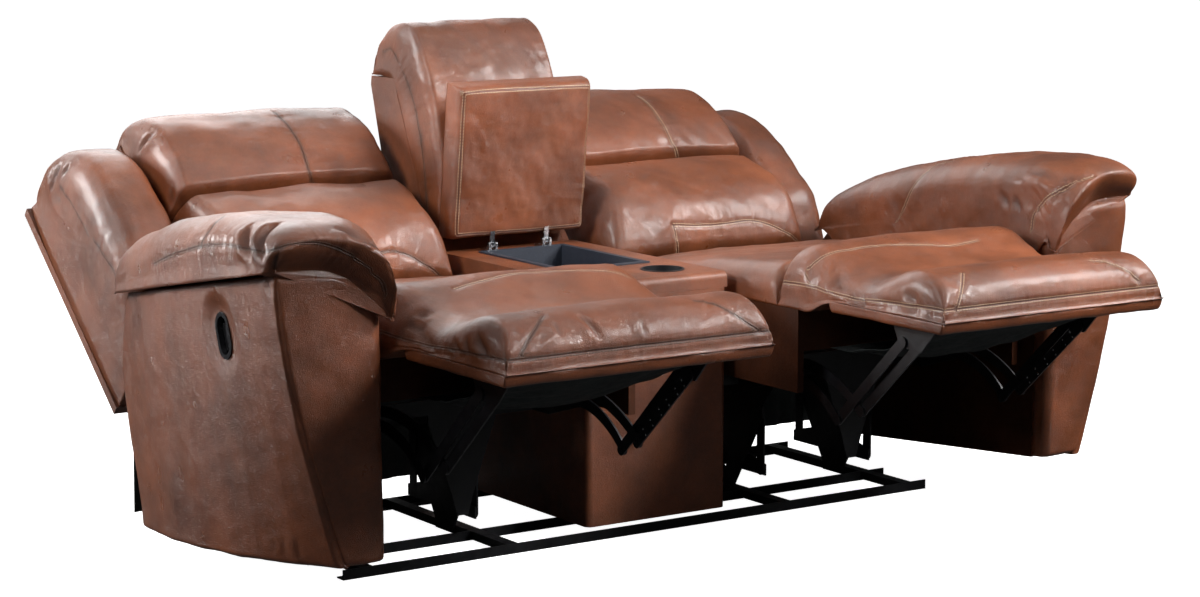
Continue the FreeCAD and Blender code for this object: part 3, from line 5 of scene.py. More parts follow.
import bpy
import numpy as np
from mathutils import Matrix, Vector


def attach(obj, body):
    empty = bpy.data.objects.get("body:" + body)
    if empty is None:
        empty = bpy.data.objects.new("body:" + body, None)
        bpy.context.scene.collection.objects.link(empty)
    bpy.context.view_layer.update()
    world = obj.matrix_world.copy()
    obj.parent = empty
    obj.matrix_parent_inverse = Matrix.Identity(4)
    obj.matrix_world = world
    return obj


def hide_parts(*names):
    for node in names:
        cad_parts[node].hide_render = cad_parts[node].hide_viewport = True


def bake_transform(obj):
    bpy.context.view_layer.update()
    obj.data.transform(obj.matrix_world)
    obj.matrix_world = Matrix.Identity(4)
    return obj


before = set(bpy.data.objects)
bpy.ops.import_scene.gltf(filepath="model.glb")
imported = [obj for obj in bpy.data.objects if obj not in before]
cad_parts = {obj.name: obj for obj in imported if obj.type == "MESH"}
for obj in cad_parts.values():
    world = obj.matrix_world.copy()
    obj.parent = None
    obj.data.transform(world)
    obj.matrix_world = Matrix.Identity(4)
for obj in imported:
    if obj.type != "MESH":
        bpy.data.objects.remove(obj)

bl_info = {
    "name": "Reclining Loveseat",
    "version": (1, 0, 0),
    "blender": (4, 5, 0),
    "location": "3D View > Sidebar > Loveseat",
    "description": "Dresses a reclining loveseat with a console in leather, steel and thread",
    "category": "Add Mesh",
}

SIDES = (("right", 1.0), ("left", -1.0))

# Materials made so far, by name

MADE = {}

# A back's pivot and how far it leans, in degrees, at rest

PIVOT_Y, PIVOT_Z, LEAN = 0.360, 0.460, 50.15

# Seeds of the parts' own unevenness, to which the side, 1 or -1, is added

SEEDS = {
    "arm_side": 8, "arm_front": 9, "seat": 11, "wing": 20, "chaise": 21, "lumbar": 30, "footrest_band": 31,
    "headrest": 40, "arm_pad": 51, "console_cushion": 61, "console_lid": 71, "footrest_cloth": 81,
    "rear_skirt": 91,
}

# Filling of a pad's cover as a cloth: the slack, the largest move in metres, the pressure, the frames,
# the share of the largest move by which the cover starts inside, and the hold below which it is pinned

SLACK, MOST, PRESSURE, FILLING_FRAMES = 0.025, 0.007, 4.0, 20
START_INSIDE_SHARE, PINNED_BELOW = 0.6, 0.9

# Grid steps from a cover's rim to where it moves freely

HOLD_STEPS = 4

# Seams and pleats, in metres: how far each is looked for, the waves of the puckers beside a seam and how
# far they reach, the depth at which a point is on the pad's other side, and the distance given to it

SEAM_SEARCH, FOLD_SEARCH = 0.07, 0.05
PUCKER_WAVE, PUCKER_REACH = 0.013, 0.018
OTHER_SIDE, FAR = 0.03, 1.0

# Stitching, in metres, each pair from full to none: the reach of a seam's drawing, the slit, the thread's
# half width, its distance from the slit, the stitches' length, and the half share of it that is thread

STITCH_REACH, SLIT, THREAD_HALF = (0.009, 0.010), (0.0004, 0.0011), (0.0006, 0.0011)
THREAD_AWAY, STITCH_LENGTH, STITCH_SHARE = 0.0030, 0.0065, (0.34, 0.40)


def settings():
    """The loveseat's settings."""
    return bpy.context.scene.loveseat


# Numbers along lines


def spline(rows, count=600):
    """Rows of numbers carried smoothly through their places by a Catmull-Rom curve."""
    rows = np.asarray(rows, float)
    padded = np.vstack([2 * rows[0] - rows[1], rows, 2 * rows[-1] - rows[-2]])
    t = np.linspace(0, len(rows) - 1, count)
    k = np.minimum(t.astype(int), len(rows) - 2)
    f = (t - k)[:, None]
    a, b, c, d = padded[k], padded[k + 1], padded[k + 2], padded[k + 3]
    return 0.5 * (2 * b + (c - a) * f + (2 * a - 5 * b + 4 * c - d) * f**2 + (3 * b - a - 3 * c + d) * f**3)


def run_length(points):
    """Length run through at each point of a line."""
    return np.concatenate([[0], np.cumsum(np.linalg.norm(np.diff(points, axis=0), axis=1))])


def at_lengths(rows, lengths):
    """Rows read at lengths run along their first two columns."""
    run = run_length(rows[:, :2])
    return np.stack([np.interp(lengths, run, rows[:, c]) for c in range(rows.shape[1])], axis=-1)


def rim_steps(walls, rounds, middle):
    """Steps over a span with a rim at each end.

    Gives five arrays: the shares of the first rim, of the middle and of the last rim passed at
    each step, and how far the surface has risen by the rim's straight wall and by its rounding.
    """
    angle = np.linspace(0, math.pi / 2, rounds + 1)[:-1]
    rim = np.concatenate([np.zeros(walls), 1 - np.cos(angle)])
    by_wall = np.concatenate([np.arange(walls) / max(walls, 1), np.ones(rounds)])
    by_round = np.concatenate([np.zeros(walls), np.sin(angle)])
    ones, full = np.ones(middle), np.ones(len(rim))
    first = np.concatenate([rim, ones, full])
    through = np.concatenate([0 * rim, np.linspace(0, 1, middle), full])
    last = np.concatenate([0 * rim, 0 * ones, 1 - rim[::-1]])
    walled = np.concatenate([by_wall, ones, by_wall[::-1]])
    rounded = np.concatenate([by_round, ones, by_round[::-1]])
    return first, through, last, walled, rounded


def ripple(points, wave, seed, count=22):
    """Gentle unevenness from -1 to 1: the mean of plane waves in fixed random directions."""
    draw = np.random.default_rng(seed)
    ways = draw.normal(size=(count, 3))
    ways /= np.linalg.norm(ways, axis=1)[:, None]
    lengths = wave * draw.uniform(0.6, 1.6, count)
    phase = draw.uniform(0, 2 * math.pi, count)
    return np.sin(points @ (ways / lengths[:, None]).T * 2 * math.pi + phase).sum(1) / math.sqrt(count)


# Meshes


def mesh_object(name, points, faces):
    """Mesh object from points and faces, turned right side out by its volume."""
    points = np.asarray(points, float)
    volume = 0.0
    for size, rows in faces:
        rows = np.asarray(rows)
        a = points[rows[:, 0]]
        for k in range(1, size - 1):
            volume += np.einsum("ij,ij->", a, np.cross(points[rows[:, k]], points[rows[:, k + 1]]))
    mesh = bpy.data.meshes.new(name)
    way = -1 if volume < 0 else 1
    corners = np.concatenate([np.asarray(rows)[:, ::way].ravel() for size, rows in faces])
    sizes = np.concatenate([np.full(len(rows), size) for size, rows in faces])
    mesh.vertices.add(len(points))
    mesh.vertices.foreach_set("co", points.astype(np.float32).ravel())
    mesh.loops.add(len(corners))
    mesh.loops.foreach_set("vertex_index", corners.astype(np.int32))
    mesh.polygons.add(len(sizes))
    starts = np.concatenate([[0], np.cumsum(sizes)[:-1]])
    mesh.polygons.foreach_set("loop_start", starts.astype(np.int32))
    mesh.polygons.foreach_set("use_smooth", np.ones(len(sizes), bool))
    mesh.update(calc_edges=True)
    mesh.validate()
    piece = bpy.data.objects.new(name, mesh)
    bpy.context.scene.collection.objects.link(piece)
    return piece


def grid_faces(across, along):
    """Four-cornered faces of a grid of across by along points."""
    i, j = (part.ravel() for part in np.meshgrid(np.arange(across - 1), np.arange(along - 1), indexing="ij"))
    k = i + 1
    return np.stack([i * along + j, k * along + j, k * along + j + 1, i * along + j + 1], axis=1)


def pillow(name, top):
    """Closed form from a grid of points whose rim lies on the back, which is closed straight across."""
    across, along = top.shape[:2]
    number = np.arange(across * along).reshape(across, along)
    back = np.stack([number[0, 1:-2], number[0, 2:-1], number[-1, 2:-1], number[-1, 1:-2]], axis=1)
    first = np.concatenate([number[::-1, 0], number[:1, 1], number[-1:, 1]])
    last = np.concatenate([number[:, -1], number[-1:, -2], number[:1, -2]])
    cover = grid_faces(across, along)
    closing = [(len(rim), rim[None]) for rim in (first, last)]
    piece = mesh_object(name, top.reshape(-1, 3), [(4, cover), (4, back), *closing])
    smooth = np.arange(len(piece.data.polygons)) < len(cover)
    piece.data.polygons.foreach_set("use_smooth", smooth)
    i, j = np.meshgrid(np.arange(across), np.arange(along), indexing="ij")
    inside = np.minimum(np.minimum(i, across - 1 - i), np.minimum(j, along - 1 - j)) / HOLD_STEPS
    held = piece.data.attributes.new("hold", "FLOAT", "POINT")
    held.data.foreach_set("value", np.clip(inside, 0, 1).astype(np.float32).ravel())
    return piece


def padded_grid(rows, spacing, crown=(0, 0), ends=(0.02, 0.02), end_wall=(0, 0), walls=5, rounds=8, sag=None):
    """Grid over a pad whose cover follows a path and rounds down to its back at every side.

    A row gives, at a place on the path: the cover (y, z), the back (y, z), the inner and outer x,
    the rims' widths at the inner and outer side, and the share of the height that the sides rise
    straight before they round. crown lifts the middle across the width by one less the square of the
    place from -1 to 1, and a point is the back plus the rise of both rims times the way to the cover.
    """
    line = spline(rows)
    path = run_length(line[:, :2])[-1]
    b_first, b_through, b_last, b_wall, b_round = rim_steps(3, 6, max(4, int((path - sum(ends)) / spacing)))
    lengths = b_first * ends[0] + b_through * (path - sum(ends)) + b_last * ends[1]
    at = at_lengths(line, lengths)
    cover_y, cover_z, back_y, back_z, inner, outer, inner_rim, outer_rim, side_wall = at.T
    share = np.where(np.arange(len(lengths)) < len(lengths) // 2, *end_wall)
    b_rise = share * b_wall + (1 - share) * b_round
    span = outer - inner
    middle = max(4, int(np.mean(span) / spacing))
    a_first, a_through, a_last, a_wall, a_round = rim_steps(walls, rounds, middle)
    place = (a_first[:, None] * inner_rim + a_through[:, None] * (span - inner_rim - outer_rim)
             + a_last[:, None] * outer_rim)
    x = inner + place
    t = 2 * place / span - 1
    a_rise = side_wall * a_wall[:, None] + (1 - side_wall) * a_round[:, None]
    lift = 1 - t**2
    cover = np.stack([x, cover_y + lift * crown[0], cover_z + lift * crown[1]], axis=-1)
    back_y, back_z = np.broadcast_to(back_y, x.shape), np.broadcast_to(back_z, x.shape)
    if sag is not None:
        back_z = back_z - sag(x, back_y)
    back = np.stack([x, back_y, back_z], axis=-1)
    return back + (cover - back) * (a_rise * b_rise)[..., None]


def sided(grid, side):
    """Grid mirrored for the left side."""
    return grid * np.array([side, 1, 1])


def leaning(points):
    """Points from a back's own upright frame, (x, y, z) about its pivot, turned by its lean at rest."""
    angle = math.radians(LEAN)
    y, z = points[..., 1], points[..., 2]
    turned_y = PIVOT_Y + y * math.cos(angle) + z * math.sin(angle)
    turned_z = PIVOT_Z - y * math.sin(angle) + z * math.cos(angle)
    return np.stack([points[..., 0], turned_y, turned_z], axis=-1)


# Seams, folds and thread


def read_points(piece):
    """Places and normals of a mesh's points."""
    count = len(piece.data.vertices)
    places, normals = np.zeros(count * 3), np.zeros(count * 3)
    piece.data.vertices.foreach_get("co", places)
    piece.data.vertex_normals.foreach_get("vector", normals)
    return places.reshape(-1, 3), normals.reshape(-1, 3)


def beside(points, normals, line):
    """Signed distance to a line over the surface, and the place along it, of every point."""
    start, step = line[:-1], np.diff(line, axis=0)
    size = np.linalg.norm(step, axis=1)
    run = run_length(line)[:-1]
    share = np.clip(((points[:, None] - start) * step).sum(2) / size**2, 0, 1)
    gap = points[:, None] - (start + share[..., None] * step)
    best = np.linalg.norm(gap, axis=2).argmin(1)
    row = np.arange(len(points))
    gap = gap[row, best]
    flat = gap - normals * (gap * normals).sum(1)[:, None]
    near = np.linalg.norm(flat, axis=1)
    near = np.where((gap * normals).sum(1) < -OTHER_SIDE, FAR, near)
    side = np.sign((np.cross(step[best], normals) * gap).sum(1))
    return np.where(side == 0, 1, side) * near, run[best] + share[row, best] * size[best]


def fill_out(piece):
    """Blows a pad's cover up as a cloth that is a little too large, with its rim held, and applies it."""
    places, normals = read_points(piece)
    hold = np.zeros(len(places))
    piece.data.attributes["hold"].data.foreach_get("value", hold)
    start = places - normals * (hold * MOST * START_INSIDE_SHARE)[:, None]
    piece.data.vertices.foreach_set("co", start.astype(np.float32).ravel())
    rim = piece.vertex_groups.new(name="rim")
    rim.add(np.flatnonzero(hold < PINNED_BELOW).tolist(), 1.0, "REPLACE")
    filling = piece.modifiers.new("filling", "CLOTH")
    cover = filling.settings
    cover.quality, cover.mass = 4, 0.25
    cover.tension_stiffness = cover.compression_stiffness = 18.0
    cover.shear_stiffness, cover.bending_stiffness = 6.0, 0.8
    cover.shrink_min = -SLACK
    cover.use_pressure, cover.uniform_pressure_force = True, PRESSURE
    cover.vertex_group_mass = rim.name
    cover.effector_weights.gravity = 0.0
    filling.collision_settings.use_collision = False
    filling.point_cache.frame_end = FILLING_FRAMES
    for frame_number in range(1, FILLING_FRAMES + 1):
        bpy.context.scene.frame_set(frame_number)
    blown = piece.evaluated_get(bpy.context.evaluated_depsgraph_get()).data
    ends = np.zeros(len(places) * 3)
    blown.vertices.foreach_get("co", ends)
    move = ends.reshape(-1, 3) - start
    length = np.linalg.norm(move, axis=1)
    move *= (MOST * np.tanh(length / MOST) / np.maximum(length, 1e-9) * hold)[:, None]
    piece.modifiers.remove(filling)
    piece.vertex_groups.clear()
    bpy.context.scene.frame_set(1)
    piece.data.vertices.foreach_set("co", (start + move).astype(np.float32).ravel())
    piece.data.update()
    return piece


def upholster(piece, seams=(), folds=(), seed=1, swell=0.0015, wave=0.16):
    """Sinks seams and folds into a piece, and writes what its leather needs to draw thread and shade.

    A seam is (points, depth, width, thread, pucker): a channel whose section is a bell curve, with thread
    from dark 0 to light 1 and small puckers beside it. A fold is (start, end, width, depth): a pleat that
    fades at its ends by a sine, cut as one bell curve with a lower one, its lip, beside it.
    """
    points, normals = read_points(piece)
    count = len(points)
    move = ripple(points, wave, seed) * swell + ripple(points, wave / 3, seed + 7) * swell * 0.3
    seam = np.zeros((count, 3))
    seam[:, [0, 2]] = FAR
    thread, shade = np.zeros(count), np.zeros(count)
    for line, depth, width, light, pucker in seams:
        line = spline(line, max(12, 8 * len(line)))
        reach = np.all((points > line.min(0) - SEAM_SEARCH) & (points < line.max(0) + SEAM_SEARCH), axis=1)
        signed, along = beside(points[reach], normals[reach], line)
        near = np.abs(signed)
        channel = np.exp(-((near / width) ** 2))
        gathers = ripple(np.stack([along, 0 * along, 0 * along], axis=1) + seed, PUCKER_WAVE, seed + 3)
        move[reach] -= 0.75 * depth * channel
        move[reach] += pucker * gathers * np.exp(-near / PUCKER_REACH) * (1 - channel * 0.6)
        shadow = 0.8 * (1 - 0.6 * light) * np.exp(-((near / (width * 0.6)) ** 2))
        shade[reach] = np.maximum(shade[reach], shadow)
        closer = near < seam[reach, 2]
        rows = np.flatnonzero(reach)[closer]
        seam[rows] = np.stack([signed, along, near], axis=1)[closer]
        thread[rows] = light
    for start, end, width, depth in folds:
        start, end = np.asarray(start, float), np.asarray(end, float)
        bow = np.linalg.norm(end - start) * 0.08
        middle = (start + end) / 2 + np.array([0, bow, 0])
        line = spline([start, middle, end], 14)
        reach = np.all((points > line.min(0) - FOLD_SEARCH) & (points < line.max(0) + FOLD_SEARCH), axis=1)
        signed, along = beside(points[reach], normals[reach], line)
        fade = np.sin(np.clip(along / run_length(line)[-1], 0, 1) * math.pi) ** 0.6
        cut = np.exp(-((signed / width) ** 2))
        lip = np.exp(-(((signed - width * 2.2) / (width * 1.8)) ** 2))
        move[reach] += fade * depth * settings().fold_depth * (0.55 * lip - cut)
        shade[reach] = np.maximum(shade[reach], fade * cut * min(1.0, abs(depth) / 0.004) * 0.9)
    held = piece.data.attributes.get("hold")
    if held:
        hold = np.zeros(count)
        held.data.foreach_get("value", hold)
        move *= hold
        piece.data.attributes.remove(held)
    points = points + normals * move[:, None]
    piece.data.vertices.foreach_set("co", points.astype(np.float32).ravel())
    # The attribute fold carries painted shade for the leather: darker in pleats and along seams
    for name, kind, field, values in (("seam", "FLOAT_VECTOR", "vector", seam),
                                      ("thread", "FLOAT", "value", thread),
                                      ("fold", "FLOAT", "value", shade)):
        written = piece.data.attributes.new(name, kind, "POINT")
        written.data.foreach_set(field, values.astype(np.float32).ravel())
    piece.data.update()
    return piece


# Materials


class Shader:
    """A material's nodes, made one call at a time."""

    def __init__(self, name):
        self.material = bpy.data.materials.new(name)
        self.material.use_nodes = True
        self.tree = self.material.node_tree
        self.tree.nodes.clear()
        self.surface = self.add("ShaderNodeBsdfPrincipled")
        output = self.add("ShaderNodeOutputMaterial")
        self.tree.links.new(self.surface.outputs[0], output.inputs[0])
        self.place = self.add("ShaderNodeTexCoord").outputs["Object"]

    def add(self, kind, settings=None, **values):
        """New node with its settings, and its inputs set or linked by name."""
        node = self.tree.nodes.new(kind)
        for key, value in (settings or {}).items():
            setattr(node, key, value)
        for key, value in values.items():
            self.put(node, key, value)
        return node

    def put(self, node, key, value):
        """Sets or links one input, found by name or by number after the letter i."""
        socket = node.inputs[int(key[1:])] if key[0] == "i" and key[1:].isdigit() else node.inputs[key]
        if isinstance(value, bpy.types.NodeSocket):
            self.tree.links.new(value, socket)
        else:
            socket.default_value = value

    def noise(self, scale, detail=4.0, rough=0.5, vector=None):
        """Cloudy texture in the object's own coordinates."""
        node = self.add("ShaderNodeTexNoise", Vector=vector or self.place, Scale=scale, Detail=detail,
                        Roughness=rough)
        return node.outputs["Fac"]

    def maths(self, operation, first, second=0.0):
        """Result of a sum on numbers or sockets."""
        node = self.add("ShaderNodeMath", {"operation": operation}, i0=first, i1=second)
        return node.outputs[0]

    def ramp(self, value, low, high, to_low=0.0, to_high=1.0):
        """Value taken from one range to another, and held inside it."""
        node = self.add("ShaderNodeMapRange", {"clamp": True}, i0=value, i1=low, i2=high, i3=to_low,
                        i4=to_high)
        return node.outputs[0]

    def mix(self, share, first, second, blend="MIX"):
        """Two colours mixed."""
        node = self.add("ShaderNodeMix", {"data_type": "RGBA", "blend_type": blend}, i0=share, i6=first,
                        i7=second)
        return node.outputs[2]

    def bump(self, height, distance, strength=1.0, under=None):
        """Small relief from a height."""
        node = self.add("ShaderNodeBump", Height=height, Distance=distance, Strength=strength)
        if under is not None:
            self.put(node, "Normal", under)
        return node.outputs[0]

    def attribute(self, name, output="Fac"):
        """What upholster wrote on the piece under a name."""
        return self.add("ShaderNodeAttribute", {"attribute_name": name}).outputs[output]

    def finish(self, **values):
        """Sets the surface's inputs, named with low lines for spaces, and gives the material."""
        for key, value in values.items():
            self.put(self.surface, key.replace("_", " "), value)
        return self.material


def leather(name, base, dark, light, sewn=True, shine=0.27, gloss=1.0):
    """Pull-up leather: cloudy colour, fine pebbled grain, soft shine, painted shade in folds and along seams,
    and stitched seams.
    """
    s = Shader(name)
    cloud = s.ramp(s.noise(5.0, 6.0, 0.66), 0.36, 0.66, 0.15, 1.0)
    colour = s.mix(cloud, dark, base)
    worn = s.ramp(s.noise(9.0, 6.0, 0.66), 0.50, 0.80)
    colour = s.mix(s.maths("MULTIPLY", worn, 0.26), colour, light)
    fleck = s.ramp(s.noise(150.0, 3.0, 0.7), 0.35, 0.75, 0.88, 1.07)
    tint = s.add("ShaderNodeCombineXYZ", i0=fleck, i1=fleck, i2=fleck).outputs[0]
    colour = s.mix(1.0, colour, tint, "MULTIPLY")
    cells = s.add("ShaderNodeTexVoronoi", {"feature": "DISTANCE_TO_EDGE"}, Vector=s.place, Scale=400.0)
    grain = s.maths("ADD", s.ramp(cells.outputs[0], 0.0, 0.22), s.maths("MULTIPLY", s.noise(650.0, 2.0), 0.6))
    normal = s.bump(grain, 0.0005, 0.7)
    normal = s.bump(s.noise(34.0, 5.0, 0.6), 0.0020, 0.5, normal)
    rough = s.ramp(s.noise(16.0, 4.0), 0.3, 0.7, shine, shine + 0.13)
    if sewn:
        fold, light_thread = s.attribute("fold"), s.attribute("thread")
        seam = s.add("ShaderNodeSeparateXYZ", i0=s.attribute("seam", "Vector"))
        off_line, along, near = s.maths("ABSOLUTE", seam.outputs[0]), seam.outputs[1], seam.outputs[2]
        # Painted shade: the fold attribute holds the shade drawn in pleats and along seams, and both it and
        # the seams' slits darken the colour towards this brown
        painted_shade_brown = (dark[0] * 0.22, dark[1] * 0.18, dark[2] * 0.18, 1)
        colour = s.mix(s.maths("MULTIPLY", fold, 0.60), colour, painted_shade_brown)
        close = s.ramp(near, *STITCH_REACH, 1.0, 0.0)
        slit = s.maths("MULTIPLY", s.ramp(off_line, *SLIT, 1.0, 0.0), close)
        # How dark the painted shade in a seam's slit is: less beside light thread
        dark_share = s.maths("SUBTRACT", 0.75, s.maths("MULTIPLY", light_thread, 0.6))
        colour = s.mix(s.maths("MULTIPLY", slit, dark_share), colour, painted_shade_brown)
        beside_line = s.maths("ABSOLUTE", s.maths("SUBTRACT", off_line, THREAD_AWAY))
        row = s.ramp(beside_line, *THREAD_HALF, 1.0, 0.0)
        step = s.maths("FRACT", s.maths("MULTIPLY", along, 1 / STITCH_LENGTH))
        dash = s.ramp(s.maths("ABSOLUTE", s.maths("SUBTRACT", step, 0.5)), *STITCH_SHARE, 1.0, 0.0)
        stitch = s.maths("MULTIPLY", s.maths("MULTIPLY", row, dash), close)
        pale = s.mix(light_thread, (0.045, 0.020, 0.011, 1), (*settings().light_thread, 1))
        colour = s.mix(stitch, colour, pale)
        normal = s.bump(s.maths("SUBTRACT", stitch, slit), 0.0012, 0.8, normal)
        rough = s.maths("ADD", rough, s.maths("MULTIPLY", fold, 0.10))
    return s.finish(Base_Color=colour, Roughness=rough, Normal=normal, Specular_IOR_Level=0.5 * gloss,
                    Coat_Weight=0.12 * gloss, Coat_Roughness=0.22)


def metal(name, colour, edge, rough, metallic=1.0):
    """Worn metal or painted steel with fine scratches and its own unevenness."""
    s = Shader(name)
    cloud = s.ramp(s.noise(24.0, 5.0), 0.3, 0.75)
    tone = s.mix(s.maths("MULTIPLY", cloud, 0.5), colour, edge)
    streak = s.add("ShaderNodeMapping", i0=s.place, Scale=(30.0, 900.0, 900.0)).outputs[0]
    scratch = s.ramp(s.noise(1.0, 3.0, 0.6, streak), 0.55, 0.72)
    return s.finish(Base_Color=s.mix(s.maths("MULTIPLY", scratch, 0.25), tone, edge), Metallic=metallic,
                    Roughness=s.ramp(s.noise(60.0, 4.0), 0.3, 0.7, rough - 0.07, rough + 0.1),
                    Normal=s.bump(s.maths("ADD", s.noise(300.0, 3.0), scratch), 0.0002, 0.35))


def plastic(name, colour, fleck, rough):
    """Moulded plastic with a fine texture and pale specks."""
    s = Shader(name)
    speck = s.ramp(s.noise(420.0, 2.0, 0.8), 0.60, 0.72)
    cloud = s.mix(s.ramp(s.noise(12.0), 0.3, 0.7), colour, tuple(c * 1.25 for c in colour[:3]) + (1,))
    return s.finish(Base_Color=s.mix(s.maths("MULTIPLY", speck, 0.6), cloud, fleck),
                    Roughness=s.ramp(s.noise(40.0), 0.3, 0.7, rough, rough + 0.12),
                    Normal=s.bump(s.noise(520.0, 3.0), 0.0002, 0.4))


def woven(name, colour, light):
    """Thin dark lining cloth: two crossed sets of threads."""
    s = Shader(name)
    first, second = (s.add("ShaderNodeTexWave", {"bands_direction": way}, Vector=s.place, Scale=260.0,
                           Distortion=0.6).outputs[1] for way in "XY")
    weave = s.maths("MULTIPLY", first, second)
    tone = s.mix(s.ramp(s.noise(14.0), 0.3, 0.7), colour, light)
    return s.finish(Base_Color=s.mix(s.maths("MULTIPLY", weave, 0.4), tone, light),
                    Roughness=s.ramp(s.noise(80.0), 0.3, 0.7, 0.8, 0.95),
                    Normal=s.bump(weave, 0.0003, 0.6))


def solid(colour):
    """A colour with its alpha."""
    return (*colour, 1)


def finishes():
    """All materials, made once."""
    if not MADE:
        base, lining = np.array(settings().leather_colour), np.array(settings().lining_colour)
        brown = (base, base * settings().dark_share, base * (1.45, 1.9, 2.4))
        # Painted shade: shaded_leather is the leather at 0.30 of its colours and with less gloss, a darker
        # copy for the seat boxes and arm frames
        shaded = (solid(colour * 0.30) for colour in brown)
        brown = [solid(colour) for colour in brown]
        MADE["shaded_leather"] = leather("shaded_leather", *shaded, sewn=False, shine=0.50, gloss=0.25)
        MADE["leather"] = leather("cognac_leather", *brown)
        MADE["plain_leather"] = leather("cognac_leather_plain", *brown, sewn=False, shine=0.36)
        MADE["black_steel"] = metal("black_painted_steel", solid((0.004, 0.004, 0.005)),
                                    solid((0.018, 0.018, 0.021)), 0.4, 0.2)
        MADE["bright_steel"] = metal("bright_steel", solid((0.55, 0.56, 0.58)), solid((0.8, 0.8, 0.82)), 0.24)
        MADE["trim"] = metal("handle_trim", solid((0.03, 0.03, 0.034)), solid((0.16, 0.16, 0.17)), 0.22, 0.9)
        MADE["black_plastic"] = plastic("black_plastic", solid((0.008, 0.008, 0.009)),
                                        solid((0.03, 0.03, 0.032)), 0.34)
        MADE["bin_plastic"] = plastic("bin_plastic", solid((0.012, 0.015, 0.024)),
                                      solid((0.06, 0.08, 0.12)), 0.55)
        MADE["lining"] = woven("dark_lining", solid(lining), solid(lining * 2.8))
    return MADE


def dress(piece, finish, body=None, replaced=(), fill=None):
    """Gives a piece its finish, its body and the nodes it stands for."""
    piece.data.materials.clear()
    piece.data.materials.append(finishes()[finish])
    if body:
        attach(piece, body)
    if replaced:
        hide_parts(*replaced)
    return piece


# Seats, as rows of padded_grid, and the spacing of the plainer pieces' points


SEAT_SPACING, BAND_SPACING = 0.007, 0.012
SEAT_ROWS = [
    (-0.2995, 0.545, -0.2995, 0.4655, 0.195, 0.7745, 0.05, 0.05, 0.35),
    (-0.26, 0.545, -0.26, 0.4655, 0.195, 0.7745, 0.06, 0.06, 0.3),
    (-0.10, 0.532, -0.10, 0.4655, 0.195, 0.7745, 0.06, 0.06, 0.3),
    (0.08, 0.512, 0.08, 0.4655, 0.195, 0.7745, 0.06, 0.06, 0.3),
    (0.214, 0.497, 0.214, 0.4655, 0.195, 0.7745, 0.05, 0.05, 0.3),
]
CHAISE_ROWS = [
    (-0.3003, 0.566, -0.3003, 0.4655, 0.195, 0.7745, 0.060, 0.060, 0.45),
    (-0.335, 0.588, -0.335, 0.4655, 0.195, 0.7745, 0.062, 0.060, 0.42),
    (-0.370, 0.596, -0.368, 0.4655, 0.195, 0.7745, 0.065, 0.060, 0.38),
    (-0.410, 0.590, -0.405, 0.4665, 0.195, 0.7735, 0.075, 0.065, 0.30),
    (-0.455, 0.575, -0.450, 0.4870, 0.195, 0.766, 0.090, 0.075, 0.18),
    (-0.505, 0.560, -0.500, 0.4960, 0.195, 0.759, 0.105, 0.085, 0.12),
    (-0.555, 0.553, -0.555, 0.4960, 0.195, 0.757, 0.105, 0.080, 0.12),
    (-0.610, 0.562, -0.610, 0.4960, 0.195, 0.757, 0.070, 0.055, 0.25),
    (-0.665, 0.577, -0.665, 0.4960, 0.195, 0.757, 0.042, 0.036, 0.35),
    (-0.712, 0.584, -0.712, 0.4960, 0.195, 0.757, 0.034, 0.030, 0.40),
    (-0.752, 0.579, -0.752, 0.4960, 0.195, 0.757, 0.032, 0.028, 0.42),
    (-0.784, 0.560, -0.784, 0.4960, 0.195, 0.757, 0.030, 0.026, 0.42),
    (-0.801, 0.535, -0.801, 0.4960, 0.195, 0.757, 0.026, 0.024, 0.4),
    (-0.8062, 0.512, -0.806, 0.4960, 0.195, 0.757, 0.022, 0.022, 0.4),
]
BAND_ROWS = [
    (-0.469, 0.4738, -0.469, 0.4950, 0.1945, 0.7575, 0.004, 0.004, 0.5),
    (-0.52, 0.4738, -0.52, 0.4950, 0.1945, 0.7575, 0.006, 0.006, 0.5),
    (-0.75, 0.4738, -0.75, 0.4950, 0.1945, 0.7575, 0.006, 0.006, 0.5),
    (-0.8035, 0.4738, -0.8035, 0.4950, 0.1945, 0.7575, 0.006, 0.006, 0.5),
]


def drawn(name):
    """Seams and pleats that are drawn on a piece."""
    return SEAMS.get(name, ()), FOLDS.get(name, ())


def make_seats():
    """Seat cushions, the long pads over knee and footrest, and the leather bands round the boards."""
    for name, side in SIDES:
        grid = padded_grid(SEAT_ROWS, SEAT_SPACING, crown=(0, 0.008), ends=(0.025, 0.02))
        piece = pillow("seat_" + name, sided(grid, side))
        upholster(piece, seed=SEEDS["seat"] + int(side))
        dress(piece, "leather", "body", ("seat_cushion_" + name,), 0.6)
        grid = padded_grid(CHAISE_ROWS, settings().spacing, crown=(0, 0.006), ends=(0.028, 0.006),
                           end_wall=(0.2, 0.2), walls=9)
        piece = fill_out(pillow("chaise_" + name, sided(grid, side)))
        upholster(piece, *drawn("chaise_" + name), SEEDS["chaise"] + int(side), swell=0.0013)
        dress(piece, "leather", None, ("knee_pad_" + name, "footrest_pad_" + name), 0.65)
        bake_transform(piece)
        grid = padded_grid(BAND_ROWS, BAND_SPACING, ends=(0.006, 0.008))
        piece = pillow("footrest_band_" + name, sided(grid, side))
        upholster(piece, seed=SEEDS["footrest_band"] + int(side), swell=0.0005, wave=0.08)
        dress(piece, "leather", "footrest_" + name, ("footrest_board_" + name,), 0.2)


# Backs, in their own upright frame about the recline pivot


